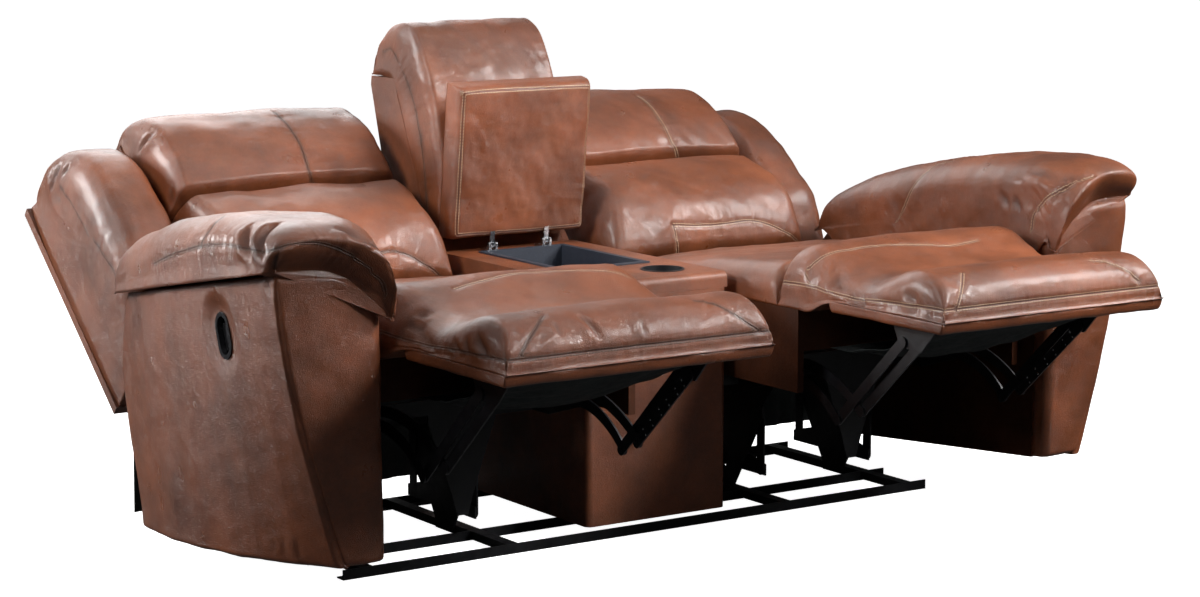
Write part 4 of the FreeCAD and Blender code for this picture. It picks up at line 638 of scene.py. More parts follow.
LUMBAR_ROWS = [
    (-0.078, -0.047, -0.034, -0.047, 0.195, 0.7264, 0.040, 0.035, 0.3),
    (-0.111, 0.000, -0.034, 0.000, 0.195, 0.7264, 0.045, 0.040, 0.3),
    (-0.134, 0.060, -0.010, 0.050, 0.195, 0.7264, 0.050, 0.040, 0.3),
    (-0.128, 0.120, 0.048, 0.100, 0.195, 0.7264, 0.050, 0.040, 0.3),
    (-0.108, 0.180, 0.048, 0.170, 0.195, 0.7264, 0.045, 0.040, 0.3),
    (-0.076, 0.2405, 0.048, 0.2405, 0.195, 0.7264, 0.040, 0.035, 0.3),
]
HEADREST_ROWS = [
    (-0.070, 0.2430, 0.048, 0.2430, 0.195, 0.7264, 0.034, 0.030, 0.45),
    (-0.086, 0.300, 0.048, 0.300, 0.195, 0.7264, 0.038, 0.034, 0.42),
    (-0.085, 0.370, 0.048, 0.370, 0.195, 0.7264, 0.040, 0.036, 0.40),
    (-0.072, 0.430, 0.048, 0.430, 0.195, 0.7264, 0.040, 0.036, 0.40),
    (-0.042, 0.490, 0.048, 0.480, 0.195, 0.7264, 0.040, 0.036, 0.35),
    (0.010, 0.532, 0.048, 0.501, 0.195, 0.7264, 0.045, 0.040, 0.30),
    (0.080, 0.550, 0.100, 0.501, 0.195, 0.7264, 0.050, 0.044, 0.25),
    (0.160, 0.546, 0.170, 0.501, 0.195, 0.7264, 0.050, 0.044, 0.25),
    (0.215, 0.534, 0.218, 0.501, 0.195, 0.7264, 0.040, 0.036, 0.3),
    (0.238, 0.512, 0.2355, 0.501, 0.195, 0.7264, 0.030, 0.030, 0.3),
]
WING_ROWS = [
    (0.110, -0.056, 0.2170, -0.0580, 0.7270, 0.889, 0.030, 0.040, 0.55),
    (0.062, -0.028, 0.2170, -0.040, 0.7270, 0.890, 0.034, 0.046, 0.60),
    (0.024, 0.018, 0.2170, 0.000, 0.7270, 0.892, 0.038, 0.050, 0.65),
    (-0.010, 0.070, 0.2170, 0.060, 0.7270, 0.893, 0.040, 0.054, 0.70),
    (-0.041, 0.130, 0.2170, 0.120, 0.7270, 0.894, 0.042, 0.056, 0.72),
    (-0.048, 0.210, 0.2170, 0.210, 0.7270, 0.895, 0.044, 0.058, 0.73),
    (-0.044, 0.305, 0.2170, 0.305, 0.7270, 0.895, 0.044, 0.058, 0.71),
    (-0.022, 0.400, 0.2170, 0.390, 0.7270, 0.893, 0.042, 0.054, 0.66),
    (0.030, 0.480, 0.2170, 0.455, 0.7270, 0.889, 0.040, 0.050, 0.55),
    (0.110, 0.524, 0.2170, 0.4985, 0.7270, 0.884, 0.040, 0.046, 0.35),
    (0.195, 0.526, 0.2250, 0.5010, 0.7270, 0.880, 0.034, 0.038, 0.3),
    (0.2370, 0.512, 0.2355, 0.5010, 0.7270, 0.878, 0.030, 0.030, 0.3),
]


def make_backs():
    """Lumbar pads, headrests and wings."""
    kinds = (("lumbar", "lumbar_pad_", LUMBAR_ROWS, (-0.010, 0), 5, 0.6),
             ("headrest", "headrest_", HEADREST_ROWS, (-0.010, 0.004), 5, 0.7),
             ("wing", "wing_", WING_ROWS, (-0.006, 0), 9, 0.7))
    for name, side in SIDES:
        for part, node, rows, crown, walls, fill in kinds:
            grid = padded_grid(rows, settings().spacing, crown, ends=(0.022, 0.012), end_wall=(0.2, 0.2),
                               walls=walls)
            piece = fill_out(pillow(part + "_cover_" + name, sided(leaning(grid), side)))
            upholster(piece, *drawn(part + "_" + name), SEEDS[part] + int(side), swell=0.002)
            dress(piece, "leather", "back_" + name, (node + name,), fill)


# Arms, as the right one's: (y, z) or (z, x) along each line, with y or z first where a height or a width
# is read from it


ARM_FRONT_Y, PANEL_FOOT_Z, PANEL_TOP_Z, PANEL_INNER_X, PANEL_GAP = -0.45, 0.109, 0.6445, 0.7875, 0.001
SIDE_FRONT_Y, SIDE_BACK_X, SIDE_PUFF = -0.4495, 0.8625, 0.004
FRONT_FACE_Y, FRONT_BACK_Y, FRONT_PUFF = -0.4505, -0.4055, 0.012

# The ridge's straight line, from its foot to its top, and how far behind it the flare reaches

RIDGE_FOOT_Z, RIDGE_HEIGHT, RIDGE_FOOT_X, RIDGE_LEAN, FLARE_REACH = 0.097, 0.548, 0.852, 0.148, 0.09

# The release handle's place and tilt, half its straight part, its radius, and the flat, pit and blend
# of the leather round it

HANDLE_Y, HANDLE_Z, HANDLE_TILT, HANDLE_STRAIGHT, HANDLE_RADIUS = -0.230, 0.506, 20, 0.017, 0.026
HANDLE_FLAT_X, HANDLE_PIT_X, HANDLE_PIT_INSIDE, HANDLE_BLEND = 0.9886, 0.955, 0.0035, 0.045

# Under side and inner side of the arm pad

PAD_SEAM_Z, SAG_START_Y, SAG_LENGTH = 0.6455, -0.408, 0.03
NOSE_START_Y, NOSE_LENGTH, NOSE_INNER_X, NOSE_WIDTH, NOSE_SLIDE = -0.385, 0.10, 0.925, 0.15, 0.026
APRON_BACK_X, APRON_FACE_X, APRON_FOOT_Z, APRON_LIP, APRON_STEPS = 0.7864, 0.7782, 0.473, 0.003, 24
APRON_FRONT_Y, APRON_FRONT_FADE, APRON_REAR_Y, APRON_REAR_FADE = -0.445, 0.05, 0.30, 0.06

ARM_REAR = [(0.253, 0.052), (0.266, 0.096), (0.295, 0.171), (0.327, 0.234), (0.362, 0.325), (0.356, 0.386),
            (0.318, 0.471), (0.270, 0.5165)]
RIDGE = [(0.097, 0.866), (0.154, 0.887), (0.257, 0.919), (0.368, 0.953), (0.458, 0.975), (0.547, 0.992),
         (0.600, 0.999), (0.645, 1.000)]
FOOT_PLAN = [(-0.45, 0.014), (-0.41, 0.037), (-0.364, 0.061), (-0.267, 0.094), (-0.182, 0.110),
             (-0.081, 0.118), (0.025, 0.118), (0.137, 0.106), (0.36, 0.064)]
TOP_PLAN = [(-0.45, 0), (-0.36, 0.004), (-0.24, 0.008), (-0.03, 0.004), (0.14, -0.015), (0.36, -0.070)]
FRONT_TOP = [(0.771, 0.553), (0.794, 0.591), (0.812, 0.606), (0.834, 0.618), (0.862, 0.631), (0.893, 0.640),
             (0.951, 0.6455), (1.020, 0.6450)]


def arm_outer_x(y, z):
    """Outer face of an arm: a straight line from foot to top, bowed by the plans of both, plus the flare.

    The flare is how far the ridge stands off that line, and fades behind the front by an exponential.
    """
    share = np.clip((z - RIDGE_FOOT_Z) / RIDGE_HEIGHT, 0, 1)
    foot, top = np.interp(y, *np.array(FOOT_PLAN).T), np.interp(y, *np.array(TOP_PLAN).T)
    flare = np.interp(z, *np.array(RIDGE).T) - (RIDGE_FOOT_X + RIDGE_LEAN * share)
    fade = np.exp(-np.clip(y - ARM_FRONT_Y, 0, 1) / FLARE_REACH)
    return RIDGE_FOOT_X + foot + (RIDGE_LEAN + top - foot) * share + flare * fade


def handle_seat(x, y, z):
    """Sinks the arm's outer face to a flat round the release handle, with a pit behind the handle's cup.

    The distance is to a slot, a straight line with round ends, and the face blends by a smooth step of it.
    """
    tilt = math.radians(HANDLE_TILT)
    u = (y - HANDLE_Y) * math.cos(tilt) - (z - HANDLE_Z) * math.sin(tilt)
    v = (y - HANDLE_Y) * math.sin(tilt) + (z - HANDLE_Z) * math.cos(tilt)
    away = np.hypot(u, np.clip(np.abs(v) - HANDLE_STRAIGHT, 0, None)) - HANDLE_RADIUS
    near = np.clip(1 - away / HANDLE_BLEND, 0, 1)
    near = near * near * (3 - 2 * near)
    x = x + (np.minimum(x, HANDLE_FLAT_X) - x) * near
    return np.where(away < -HANDLE_PIT_INSIDE, HANDLE_PIT_X, x)


def front_top(x):
    """Height of the front panel's arched upper edge."""
    return np.interp(x, *np.array(FRONT_TOP).T)


def rimmed(cover, back, across, along, wall, spacing):
    """Grid of a panel between its cover and its back, as functions of two shares, rounded at each rim.

    across and along give (size, first rim, last rim). A point is the back plus the rise of both rims
    times the way to the cover, and wall is the share of the rise that is straight.
    """
    shares, rises = [], []
    for size, low, high in (across, along):
        first, through, last, walled, rounded = rim_steps(2, 6, int(size / spacing))
        shares.append((first * low + through * (size - low - high) + last * high) / size)
        rises.append(wall * walled + (1 - wall) * rounded)
    a, b = np.meshgrid(*shares, indexing="ij")
    front, behind = cover(a, b), back(a, b)
    return behind + (front - behind) * np.outer(*rises)[..., None]


def arm_side_grid():
    """Outer side panel, from its curved rear edge to the ridge at the front, with a puff of two sines."""
    rear = spline(ARM_REAR, 200)
    rear = at_lengths(rear, np.linspace(0, run_length(rear)[-1], 200))
    share = np.linspace(0, 1, 200)

    def place(a, b):
        rear_y, rear_z = np.interp(b, share, rear[:, 0]), np.interp(b, share, rear[:, 1])
        front_z = PANEL_FOOT_Z + b * (PANEL_TOP_Z - PANEL_FOOT_Z)
        return rear_y + (SIDE_FRONT_Y - rear_y) * a, rear_z + (front_z - rear_z) * a

    def cover(a, b):
        y, z = place(a, b)
        puff = SIDE_PUFF * np.sin(np.clip(a, 0, 1) * math.pi) * np.sin(np.clip(b, 0, 1) * math.pi)
        return np.stack([handle_seat(arm_outer_x(y, z) + puff, y, z), y, z], axis=-1)

    def back(a, b):
        return np.stack([np.full_like(a, SIDE_BACK_X), *place(a, b)], axis=-1)

    return rimmed(cover, back, (0.76, 0.012, 0.008), (0.52, 0.010, 0.006), 0.82, 0.0042)


def arm_front_grid():
    """Front panel, which flares outwards to an arched top and swells between its seams.

    A point's height depends on its x and its x on its height, so the two are worked out in turn.
    """

    def place(a, b):
        height = PANEL_FOOT_Z + b * (PANEL_TOP_Z - PANEL_FOOT_Z)
        for _ in range(3):
            outer = np.interp(height, *np.array(RIDGE).T) - PANEL_GAP
            x = PANEL_INNER_X + a * (outer - PANEL_INNER_X)
            height = PANEL_FOOT_Z + b * (front_top(x) - PANEL_FOOT_Z)
        return x, height

    def cover(a, b):
        x, z = place(a, b)
        puff = FRONT_PUFF * np.sin(a * math.pi) ** 0.7 * (0.3 + 0.7 * b**2)
        return np.stack([x, FRONT_FACE_Y - puff, z], axis=-1)

    def back(a, b):
        x, z = place(a, b)
        return np.stack([x, np.full_like(x, FRONT_BACK_Y), z], axis=-1)

    return rimmed(cover, back, (0.17, 0.024, 0.005), (0.53, 0.012, 0.020), 0.55, 0.005)


def front_sag(x, y):
    """How far the arm pad hangs down over the front panel's arch, growing evenly from its start."""
    share = np.clip((SAG_START_Y - y) / SAG_LENGTH, 0, 1)
    return share * (PAD_SEAM_Z - front_top(x))


def nose(grid):
    """Lets the pad's inner front corner hang forwards and down, by a smooth step each way."""
    forward = np.clip((NOSE_START_Y - grid[..., 1]) / NOSE_LENGTH, 0, 1)
    inward = np.clip((NOSE_INNER_X - grid[..., 0]) / NOSE_WIDTH, 0, 1)
    share = (forward**2 * (3 - 2 * forward)) * (inward**2 * (3 - 2 * inward))
    return grid + share[..., None] * np.array([0, -NOSE_SLIDE, -NOSE_SLIDE])


def inner_apron(grid):
    """Carries the pad's cover down the arm's inner side as a thin apron, before its own first rim.

    It runs down on its back and up again on its face, and its foot rises to the seam at both ends.
    """
    y, seam = grid[0, :, 1], grid[0, :, 2]
    share = (np.clip((y - APRON_FRONT_Y) / APRON_FRONT_FADE, 0, 1)
             * np.clip((APRON_REAR_Y - y) / APRON_REAR_FADE, 0, 1))
    foot = seam - APRON_LIP - np.clip(seam - APRON_FOOT_Z, 0, 1) * share
    columns = [(APRON_BACK_X, step) for step in (0.0, 0.5, 1.0)]
    columns += [(APRON_FACE_X, step) for step in np.linspace(1, 0, APRON_STEPS)[:-1]]
    rows = [np.stack([np.full_like(y, x), y, seam + (foot - seam) * step], axis=-1) for x, step in columns]
    return np.concatenate([np.stack(rows), grid])


ARM_PAD_ROWS = [
    (-0.500, 0.690, -0.452, 0.6475, 0.780, 1.002, 0.080, 0.070, 0.30),
    (-0.485, 0.712, -0.445, 0.6470, 0.779, 1.014, 0.085, 0.075, 0.34),
    (-0.440, 0.728, -0.430, 0.6440, 0.7782, 1.021, 0.090, 0.080, 0.38),
    (-0.380, 0.733, -0.380, 0.6335, 0.779, 1.023, 0.095, 0.082, 0.42),
    (-0.300, 0.732, -0.300, 0.6195, 0.778, 1.022, 0.095, 0.082, 0.44),
    (-0.200, 0.724, -0.200, 0.6015, 0.778, 1.021, 0.095, 0.082, 0.44),
    (-0.100, 0.711, -0.100, 0.5840, 0.778, 1.018, 0.095, 0.082, 0.42),
    (0.000, 0.692, 0.000, 0.5660, 0.7782, 1.012, 0.090, 0.080, 0.40),
    (0.100, 0.668, 0.100, 0.5480, 0.7785, 1.003, 0.085, 0.075, 0.38),
    (0.190, 0.642, 0.190, 0.5320, 0.779, 0.990, 0.080, 0.070, 0.36),
    (0.260, 0.615, 0.260, 0.5200, 0.780, 0.976, 0.070, 0.062, 0.34),
    (0.312, 0.584, 0.295, 0.5130, 0.782, 0.962, 0.060, 0.054, 0.30),
    (0.335, 0.542, 0.325, 0.5080, 0.785, 0.950, 0.050, 0.044, 0.30),
]


def make_arms():
    """Side panels, front panels and the thick pads over the arms."""
    for name, side in SIDES:
        for part, grid, fill in (("arm_side", arm_side_grid(), 0.3), ("arm_front", arm_front_grid(), 0.5)):
            piece = pillow(part + "_cover_" + name, sided(grid, side))
            upholster(piece, *drawn(part + "_" + name), SEEDS[part] + int(side), swell=0.001)
            dress(piece, "leather", "body", (part + "_" + name,), fill)
        grid = padded_grid(ARM_PAD_ROWS, settings().spacing, ends=(0.020, 0.030), end_wall=(0.3, 0.2),
                           walls=8, rounds=12, sag=front_sag)
        piece = fill_out(pillow("arm_pad_cover_" + name, sided(inner_apron(nose(grid)), side)))
        upholster(piece, *drawn("arm_pad_" + name), SEEDS["arm_pad"] + int(side), swell=0.002)
        dress(piece, "leather", "body", ("arm_pad_" + name,), 0.75)


# Console: half the lid's width, the rim and the puff of its cover, its points' spacing, the steps between
# its edges, and its lean from upright at rest, in degrees


LID_HALF, LID_RIM, LID_PUFF, LID_SPACING, LID_STEPS, LID_LEAN = 0.1675, 0.018, 0.003, 0.005, 5, 7
CUSHION_ROWS = [
    (0.412, 0.549, 0.440, 0.549, -0.168, 0.168, 0.016, 0.016, 0.72),
    (0.400, 0.600, 0.470, 0.590, -0.168, 0.168, 0.017, 0.017, 0.74),
    (0.400, 0.690, 0.500, 0.650, -0.168, 0.168, 0.018, 0.018, 0.76),
    (0.424, 0.800, 0.545, 0.740, -0.168, 0.168, 0.018, 0.018, 0.76),
    (0.462, 0.905, 0.590, 0.830, -0.168, 0.168, 0.018, 0.018, 0.74),
    (0.508, 0.972, 0.605, 0.870, -0.168, 0.168, 0.017, 0.017, 0.72),
    (0.560, 0.998, 0.640, 0.8780, -0.168, 0.168, 0.016, 0.016, 0.70),
    (0.620, 0.990, 0.660, 0.8780, -0.168, 0.168, 0.016, 0.016, 0.70),
    (0.668, 0.950, 0.675, 0.8780, -0.168, 0.168, 0.018, 0.018, 0.65),
    (0.688, 0.895, 0.684, 0.8780, -0.168, 0.168, 0.020, 0.020, 0.5),
]


def make_console():
    """Cushion on the console's back and the padded lid."""
    grid = padded_grid(CUSHION_ROWS, settings().spacing, crown=(-0.006, 0.002), ends=(0.016, 0.012),
                       end_wall=(0.3, 0.3))
    piece = fill_out(pillow("console_cushion", grid))
    upholster(piece, *drawn("console_cushion"), SEEDS["console_cushion"], wave=0.1)
    dress(piece, "leather", "body", ("console_back_cushion",), 0.7)
    corners = lid_corners()
    rows = []
    for step in range(LID_STEPS + 1):
        t = step / LID_STEPS
        front = corners["front_low"] * (1 - t) + corners["front_high"] * t
        back = corners["rear_low"] * (1 - t) + corners["rear_high"] * t
        puff = LID_PUFF * math.sin(t * math.pi)
        rows.append((front[0] - puff, front[1], *back, -LID_HALF, LID_HALF, LID_RIM, LID_RIM, 0.55))
    grid = padded_grid(rows, LID_SPACING, crown=(-0.003, 0), ends=(0.016, 0.016), end_wall=(0.55, 0.55))
    piece = pillow("console_lid_cover", grid)
    border = seam(lid_border(corners), 0.8, depth=0.0014, width=0.0040, pucker=0.0004)
    upholster(piece, [border], (), SEEDS["console_lid"], swell=0.0012, wave=0.1)
    dress(piece, "leather", "lid", ("console_lid",), 0.5)


def lid_border(corners):
    """Seam round the lid's front face, just inside its edges, as x and the share of the way up."""
    low, high = corners["front_low"], corners["front_high"]
    spots = [(-0.150, 0.04), (-0.157, 0.08), (-0.157, 0.5), (-0.157, 0.92), (-0.150, 0.96), (0, 0.965),
             (0.150, 0.96), (0.157, 0.92), (0.157, 0.5), (0.157, 0.08), (0.150, 0.04), (0, 0.035),
             (-0.150, 0.04)]
    return [(x, *(low * (1 - t) + high * t)) for x, t in spots]


def lid_corners():
    """Corners of the open lid's side outline, (y, z), read from its CAD node along its own lean."""
    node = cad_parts["console_lid"]
    places = np.zeros(len(node.data.vertices) * 3)
    node.data.vertices.foreach_get("co", places)
    y, z = places.reshape(-1, 3)[:, 1], places.reshape(-1, 3)[:, 2]
    along = np.array([-math.sin(math.radians(LID_LEAN)), math.cos(math.radians(LID_LEAN))])
    out = np.array([-along[1], along[0]])
    u, v = y * along[0] + z * along[1], y * out[0] + z * out[1]
    spots = {"front_low": (u.min(), v.max()), "front_high": (u.max(), v.max()),
             "rear_low": (u.min(), v.min()), "rear_high": (u.max(), v.min())}
    return {key: along * a + out * b for key, (a, b) in spots.items()}


# Dark cloths: the slung ones, from the footrest's board to the seat box as (y, z), and the hanging ones


CLOTH_WALL = 0.0006
CLOTH_ROWS = [(-0.748, 0.4735), (-0.690, 0.4560), (-0.620, 0.4330), (-0.550, 0.4120), (-0.480, 0.3950),
              (-0.420, 0.3860), (-0.385, 0.3835), (-0.3712, 0.3820)]
CLOTH_INNER_X, CLOTH_OUTER_X, CLOTH_BELLY = 0.277, 0.672, 0.030
CLOTH_ACROSS, CLOTH_ALONG, CLOTH_WAVE, CLOTH_CREASE = 48, 60, 0.09, 0.004
SKIRT_INNER_X, SKIRT_OUTER_X, SKIRT_TOP_Z, SKIRT_FOOT_Z, SKIRT_Y = 0.196, 0.888, 0.233, 0.048, 0.3862
SKIRT_ACROSS, SKIRT_DOWN, SKIRT_WAVE, SKIRT_FOLD, SKIRT_WAVES = 120, 36, 0.055, 0.0045, 9


def footrest_cloth_grid(side):
    """Slung lining: its path sinks by a sine across times a sine along, with creases from a ripple."""
    path = spline(CLOTH_ROWS, CLOTH_ALONG)
    x = np.linspace(CLOTH_INNER_X, CLOTH_OUTER_X, CLOTH_ACROSS)
    t = (x - CLOTH_INNER_X) / (CLOTH_OUTER_X - CLOTH_INNER_X)
    sling = np.sin(np.linspace(0, 1, CLOTH_ALONG) * math.pi)
    z = path[:, 1] - np.outer(np.sin(t * math.pi) ** 0.8, CLOTH_BELLY * sling**1.3)
    grid = np.stack(np.broadcast_arrays(x[:, None], path[:, 0], z), axis=-1)
    crease = ripple(grid.reshape(-1, 3), CLOTH_WAVE, SEEDS["footrest_cloth"] + int(side)).reshape(z.shape)
    grid[..., 2] -= np.abs(crease * CLOTH_CREASE) * sling
    return grid


def rear_skirt_grid(side):
    """Hanging lining: a flat sheet whose folds, a ripple of its width, deepen towards its foot."""
    x = np.linspace(SKIRT_INNER_X, SKIRT_OUTER_X, SKIRT_ACROSS)
    z = np.linspace(SKIRT_TOP_Z, SKIRT_FOOT_Z, SKIRT_DOWN)
    grid = np.stack(np.broadcast_arrays(x[:, None], SKIRT_Y, z), axis=-1)
    drop = (SKIRT_TOP_Z - grid[..., 2]) / (SKIRT_TOP_Z - SKIRT_FOOT_Z)
    line = np.stack([x, 0 * x, 0 * x], axis=1)
    folds = ripple(line, SKIRT_WAVE, SEEDS["rear_skirt"] + int(side), SKIRT_WAVES)[:, None]
    grid[..., 1] += SKIRT_FOLD + drop * SKIRT_FOLD * folds
    return grid


def make_cloths():
    """Lining slung from each footrest board to its seat box, and skirts that hang behind the mechanisms."""
    for name, side in SIDES:
        piece = cloth("footrest_cloth_" + name, sided(footrest_cloth_grid(side), side), CLOTH_WALL)
        dress(piece, "lining")
        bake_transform(piece)
        piece = cloth("rear_skirt_" + name, sided(rear_skirt_grid(side), side), CLOTH_WALL)
        dress(piece, "lining", "body")


def cloth(name, grid, wall):
    """Thin sheet of cloth from a grid of points, with a wall."""
    piece = mesh_object(name, grid.reshape(-1, 3), [(4, grid_faces(*grid.shape[:2]))])
    thick = piece.modifiers.new("wall", "SOLIDIFY")
    thick.thickness, thick.offset = wall, 0.0
    return piece


# Rivets of the footrest links: the pivots they lie between, their shares of the way and their distance to
# either side of it, their size, and the faces of the two strips, with the way that each looks along X


KNEE, LINK_TOP = (-0.4834, 0.2719), (-0.6529, 0.4265)
RIVET_SHARES = (0.16, 0.30, 0.46, 0.60, 0.76, 0.88)
RIVET_ASIDE, RIVET_RADIUS, RIVET_HEIGHT = 0.0062, 0.0024, 0.0011
STRIP_FACES = (("inner", 0.2712, 1), ("outer", 0.6788, -1))


def dome(radius, height, around=14, rings=4):
    """Round head: a quarter circle turned about its axis, standing on its flat underside."""
    angle = np.linspace(0, math.pi / 2, rings)
    turn = np.arange(around) / around * 2 * math.pi
    out = radius * np.cos(angle)[:-1]
    up = height * np.sin(angle)[:-1]
    rings_up = np.repeat(up, around).reshape(-1, around)
    points = np.stack([np.outer(out, np.cos(turn)), np.outer(out, np.sin(turn)), rings_up], -1)
    points = np.concatenate([points.reshape(-1, 3), [[0, 0, height]]])
    k = np.arange(around)
    n = (k + 1) % around
    sides = [np.stack([r * around + k, r * around + n, (r + 1) * around + n, (r + 1) * around + k], 1)
             for r in range(rings - 2)]
    top = (rings - 2) * around
    cap = np.stack([top + k, top + n, np.full(around, len(points) - 1)], 1)
    return points, [(4, np.concatenate(sides)), (3, cap), (around, k[::-1][None])]


def studs(name, places, facing, radius, height):
    """Round heads set on a face that looks along X, one way or the other."""
    points, faces = dome(radius, height)
    turned = np.stack([points[:, 2] * facing, points[:, 0], points[:, 1]], axis=1)
    places = np.asarray(places)
    every = (places[:, None] + turned[None]).reshape(-1, 3)
    step = (np.arange(len(places)) * len(points))[:, None, None]
    return mesh_object(name, every, [(size, (rows[None] + step).reshape(-1, size)) for size, rows in faces])


def on_link(x, low, high, shares, across):
    """Places along a link from its lower to its upper pivot, off its middle line to one side."""
    low, high = np.array(low), np.array(high)
    way = (high - low) / np.linalg.norm(high - low)
    spots = low + np.outer(shares, high - low) + across * np.array([-way[1], way[0]])
    return [(x, y, z) for y, z in spots]


def make_fittings():
    """Two rows of domed rivets along each strip of the upper front links."""
    for name, side in SIDES:
        for label, x, facing in STRIP_FACES:
            places = []
            for aside in (RIVET_ASIDE, -RIVET_ASIDE):
                places += on_link(x * side, KNEE, LINK_TOP, RIVET_SHARES, aside)
            rivets = "link_rivets_%s_%s" % (label, name)
            piece = studs(rivets, places, facing * side, RIVET_RADIUS, RIVET_HEIGHT)
            dress(piece, "bright_steel", "link_upper_front_" + name)


# Steel, plastic and leather of the CAD nodes, by how their names start; seat boxes and arm frames get a copy
# of the leather darkened as painted shade


FINISH_OF_NODES = {
    "base_": "black_steel", "glide_links": "black_steel", "mechanism": "black_steel",
    "footrest_brackets": "black_steel", "link_": "black_steel", "back_brackets": "black_steel",
    "lid_hinge": "bright_steel", "handle_bezel": "trim", "handle_lever": "black_plastic",
    "cup_holders": "black_plastic", "console_bin": "bin_plastic", "seat_box": "shaded_leather",
    "arm_frame": "shaded_leather",
}


def make_finishes():
    """Gives every CAD node a finish, plain leather where none is named; covered ones stay out of sight."""
    for name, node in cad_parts.items():
        finish = next((f for start, f in FINISH_OF_NODES.items() if name.startswith(start)), "plain_leather")
        node.data.materials.clear()
        node.data.materials.append(finishes()[finish])


# Stage: lamps by name, place, aim, size, spread in degrees and power, then floor, camera and world


LAMPS = (
    ("left", (-2.35, -0.3, 1.95), (-0.4, 0.1, 1.1), 0.8, 60, 9.0),
    ("right", (2.9, -1.9, 2.9), (0.0, 0.0, 0.80), 1.2, 60, 30.0),
    ("front", (1.7, -3.3, 3.1), (0.1, -0.2, 0.40), 0.8, 45, 11.0),
    ("rear", (0.4, 3.2, 2.4), (0, 0.1, 0.6), 2.4, 180, 72.0),
    ("left_rear", (-3.0, 2.6, 1.6), (-0.6, 0, 0.6), 1.0, 120, 64.0),
    ("top", (0.0, -0.6, 4.2), (0, 0, 0.5), 2.0, 180, 30.0),
)


FLOOR_HALF, FLOOR_DROP = 30, 0.0005
CAMERA_PLACE, CAMERA_TURN = (-3.262, -4.828, 1.367), (81.123, 0, -33.816)
SENSOR_WIDTH, LENS = 36.0, 86.64
SOFT_LIGHT, SOFT_COLOUR, WHITE_IN_GLOSS = 0.065, (0.95, 0.97, 1.0, 1), 0.08


def make_floor():
    """White floor, which the camera sees lit from within and the part sees as grey."""
    corners = [(x * FLOOR_HALF, y * FLOOR_HALF, -FLOOR_DROP) for x, y in ((-1, -1), (1, -1), (1, 1), (-1, 1))]
    floor = mesh_object("floor", corners, [(4, np.array([[0, 1, 2, 3]]))])
    s = Shader("studio_floor")
    path = s.add("ShaderNodeLightPath").outputs["Is Camera Ray"]
    tone = s.ramp(s.noise(2.0), 0.3, 0.7, 0.86, 0.90)
    pale = s.add("ShaderNodeCombineXYZ", i0=tone, i1=tone, i2=tone).outputs[0]
    s.finish(Base_Color=s.mix(path, (0.10, 0.10, 0.10, 1), pale), Roughness=0.9, Specular_IOR_Level=0.0,
             Emission_Color=(1, 1, 1, 1), Emission_Strength=path)
    floor.data.materials.append(s.material)


def make_world():
    """Weak soft light from all sides, white to the camera and faintly white in what is glossy."""
    world = bpy.data.worlds.new("studio")
    bpy.context.scene.world = world
    world.use_nodes = True
    tree = world.node_tree
    tree.nodes.clear()
    paths, mix, output, soft, white, glossy, both = (
        tree.nodes.new("ShaderNode" + kind)
        for kind in ("LightPath", "MixShader", "OutputWorld", "Background", "Background", "Math", "Math"))
    soft.inputs[0].default_value, soft.inputs[1].default_value = SOFT_COLOUR, SOFT_LIGHT
    glossy.operation, glossy.inputs[1].default_value = "MULTIPLY", WHITE_IN_GLOSS
    both.operation = "MAXIMUM"
    for start, end in ((paths.outputs["Is Glossy Ray"], glossy.inputs[0]),
                       (paths.outputs["Is Camera Ray"], both.inputs[0]), (glossy.outputs[0], both.inputs[1]),
                       (both.outputs[0], mix.inputs[0]), (soft.outputs[0], mix.inputs[1]),
                       (white.outputs[0], mix.inputs[2]), (mix.outputs[0], output.inputs[0])):
        tree.links.new(start, end)


def place_holder(name, data, place):
    """Object that holds a lamp or the camera."""
    holder = bpy.data.objects.new(name, data)
    bpy.context.scene.collection.objects.link(holder)
    holder.location = place
    return holder


def make_stage():
    """White floor and surroundings, soft lamps and the camera at the photograph's angle."""
    make_floor()
    make_world()
    for name, place, aim, size, spread, power in LAMPS:
        lamp = bpy.data.lights.new(name, "AREA")
        lamp.energy, lamp.size, lamp.spread = power, size, math.radians(spread)
        holder = place_holder(name, lamp, place)
        way = Vector(np.array(aim) - np.array(place))
        holder.rotation_euler = way.to_track_quat("-Z", "Y").to_euler()
    camera = bpy.data.cameras.new("camera")
    camera.sensor_width, camera.lens, camera.clip_end = SENSOR_WIDTH, LENS, 100
    holder = place_holder("camera", camera, CAMERA_PLACE)
    holder.rotation_euler = [math.radians(angle) for angle in CAMERA_TURN]
    bpy.context.scene.camera = holder
    bpy.context.scene.view_settings.view_transform = "Standard"


# Seams and pleats, as points of the rest pose that were read from the photograph, and the shares of light
# in the dark and the light thread. A pleat is (start, end, width, depth)


DARK, LIGHT = 0.05, 0.75


def seam(points, thread, depth=0.0035, width=0.0060, pucker=0.0010):
    """A seam's line, with its depth, width, thread and puckers in the order that upholster takes."""
    return points, depth, width, thread, pucker


def mirrored(points):
    """A line on the other side of the middle."""
    return [(-x, y, z) for x, y, z in points]


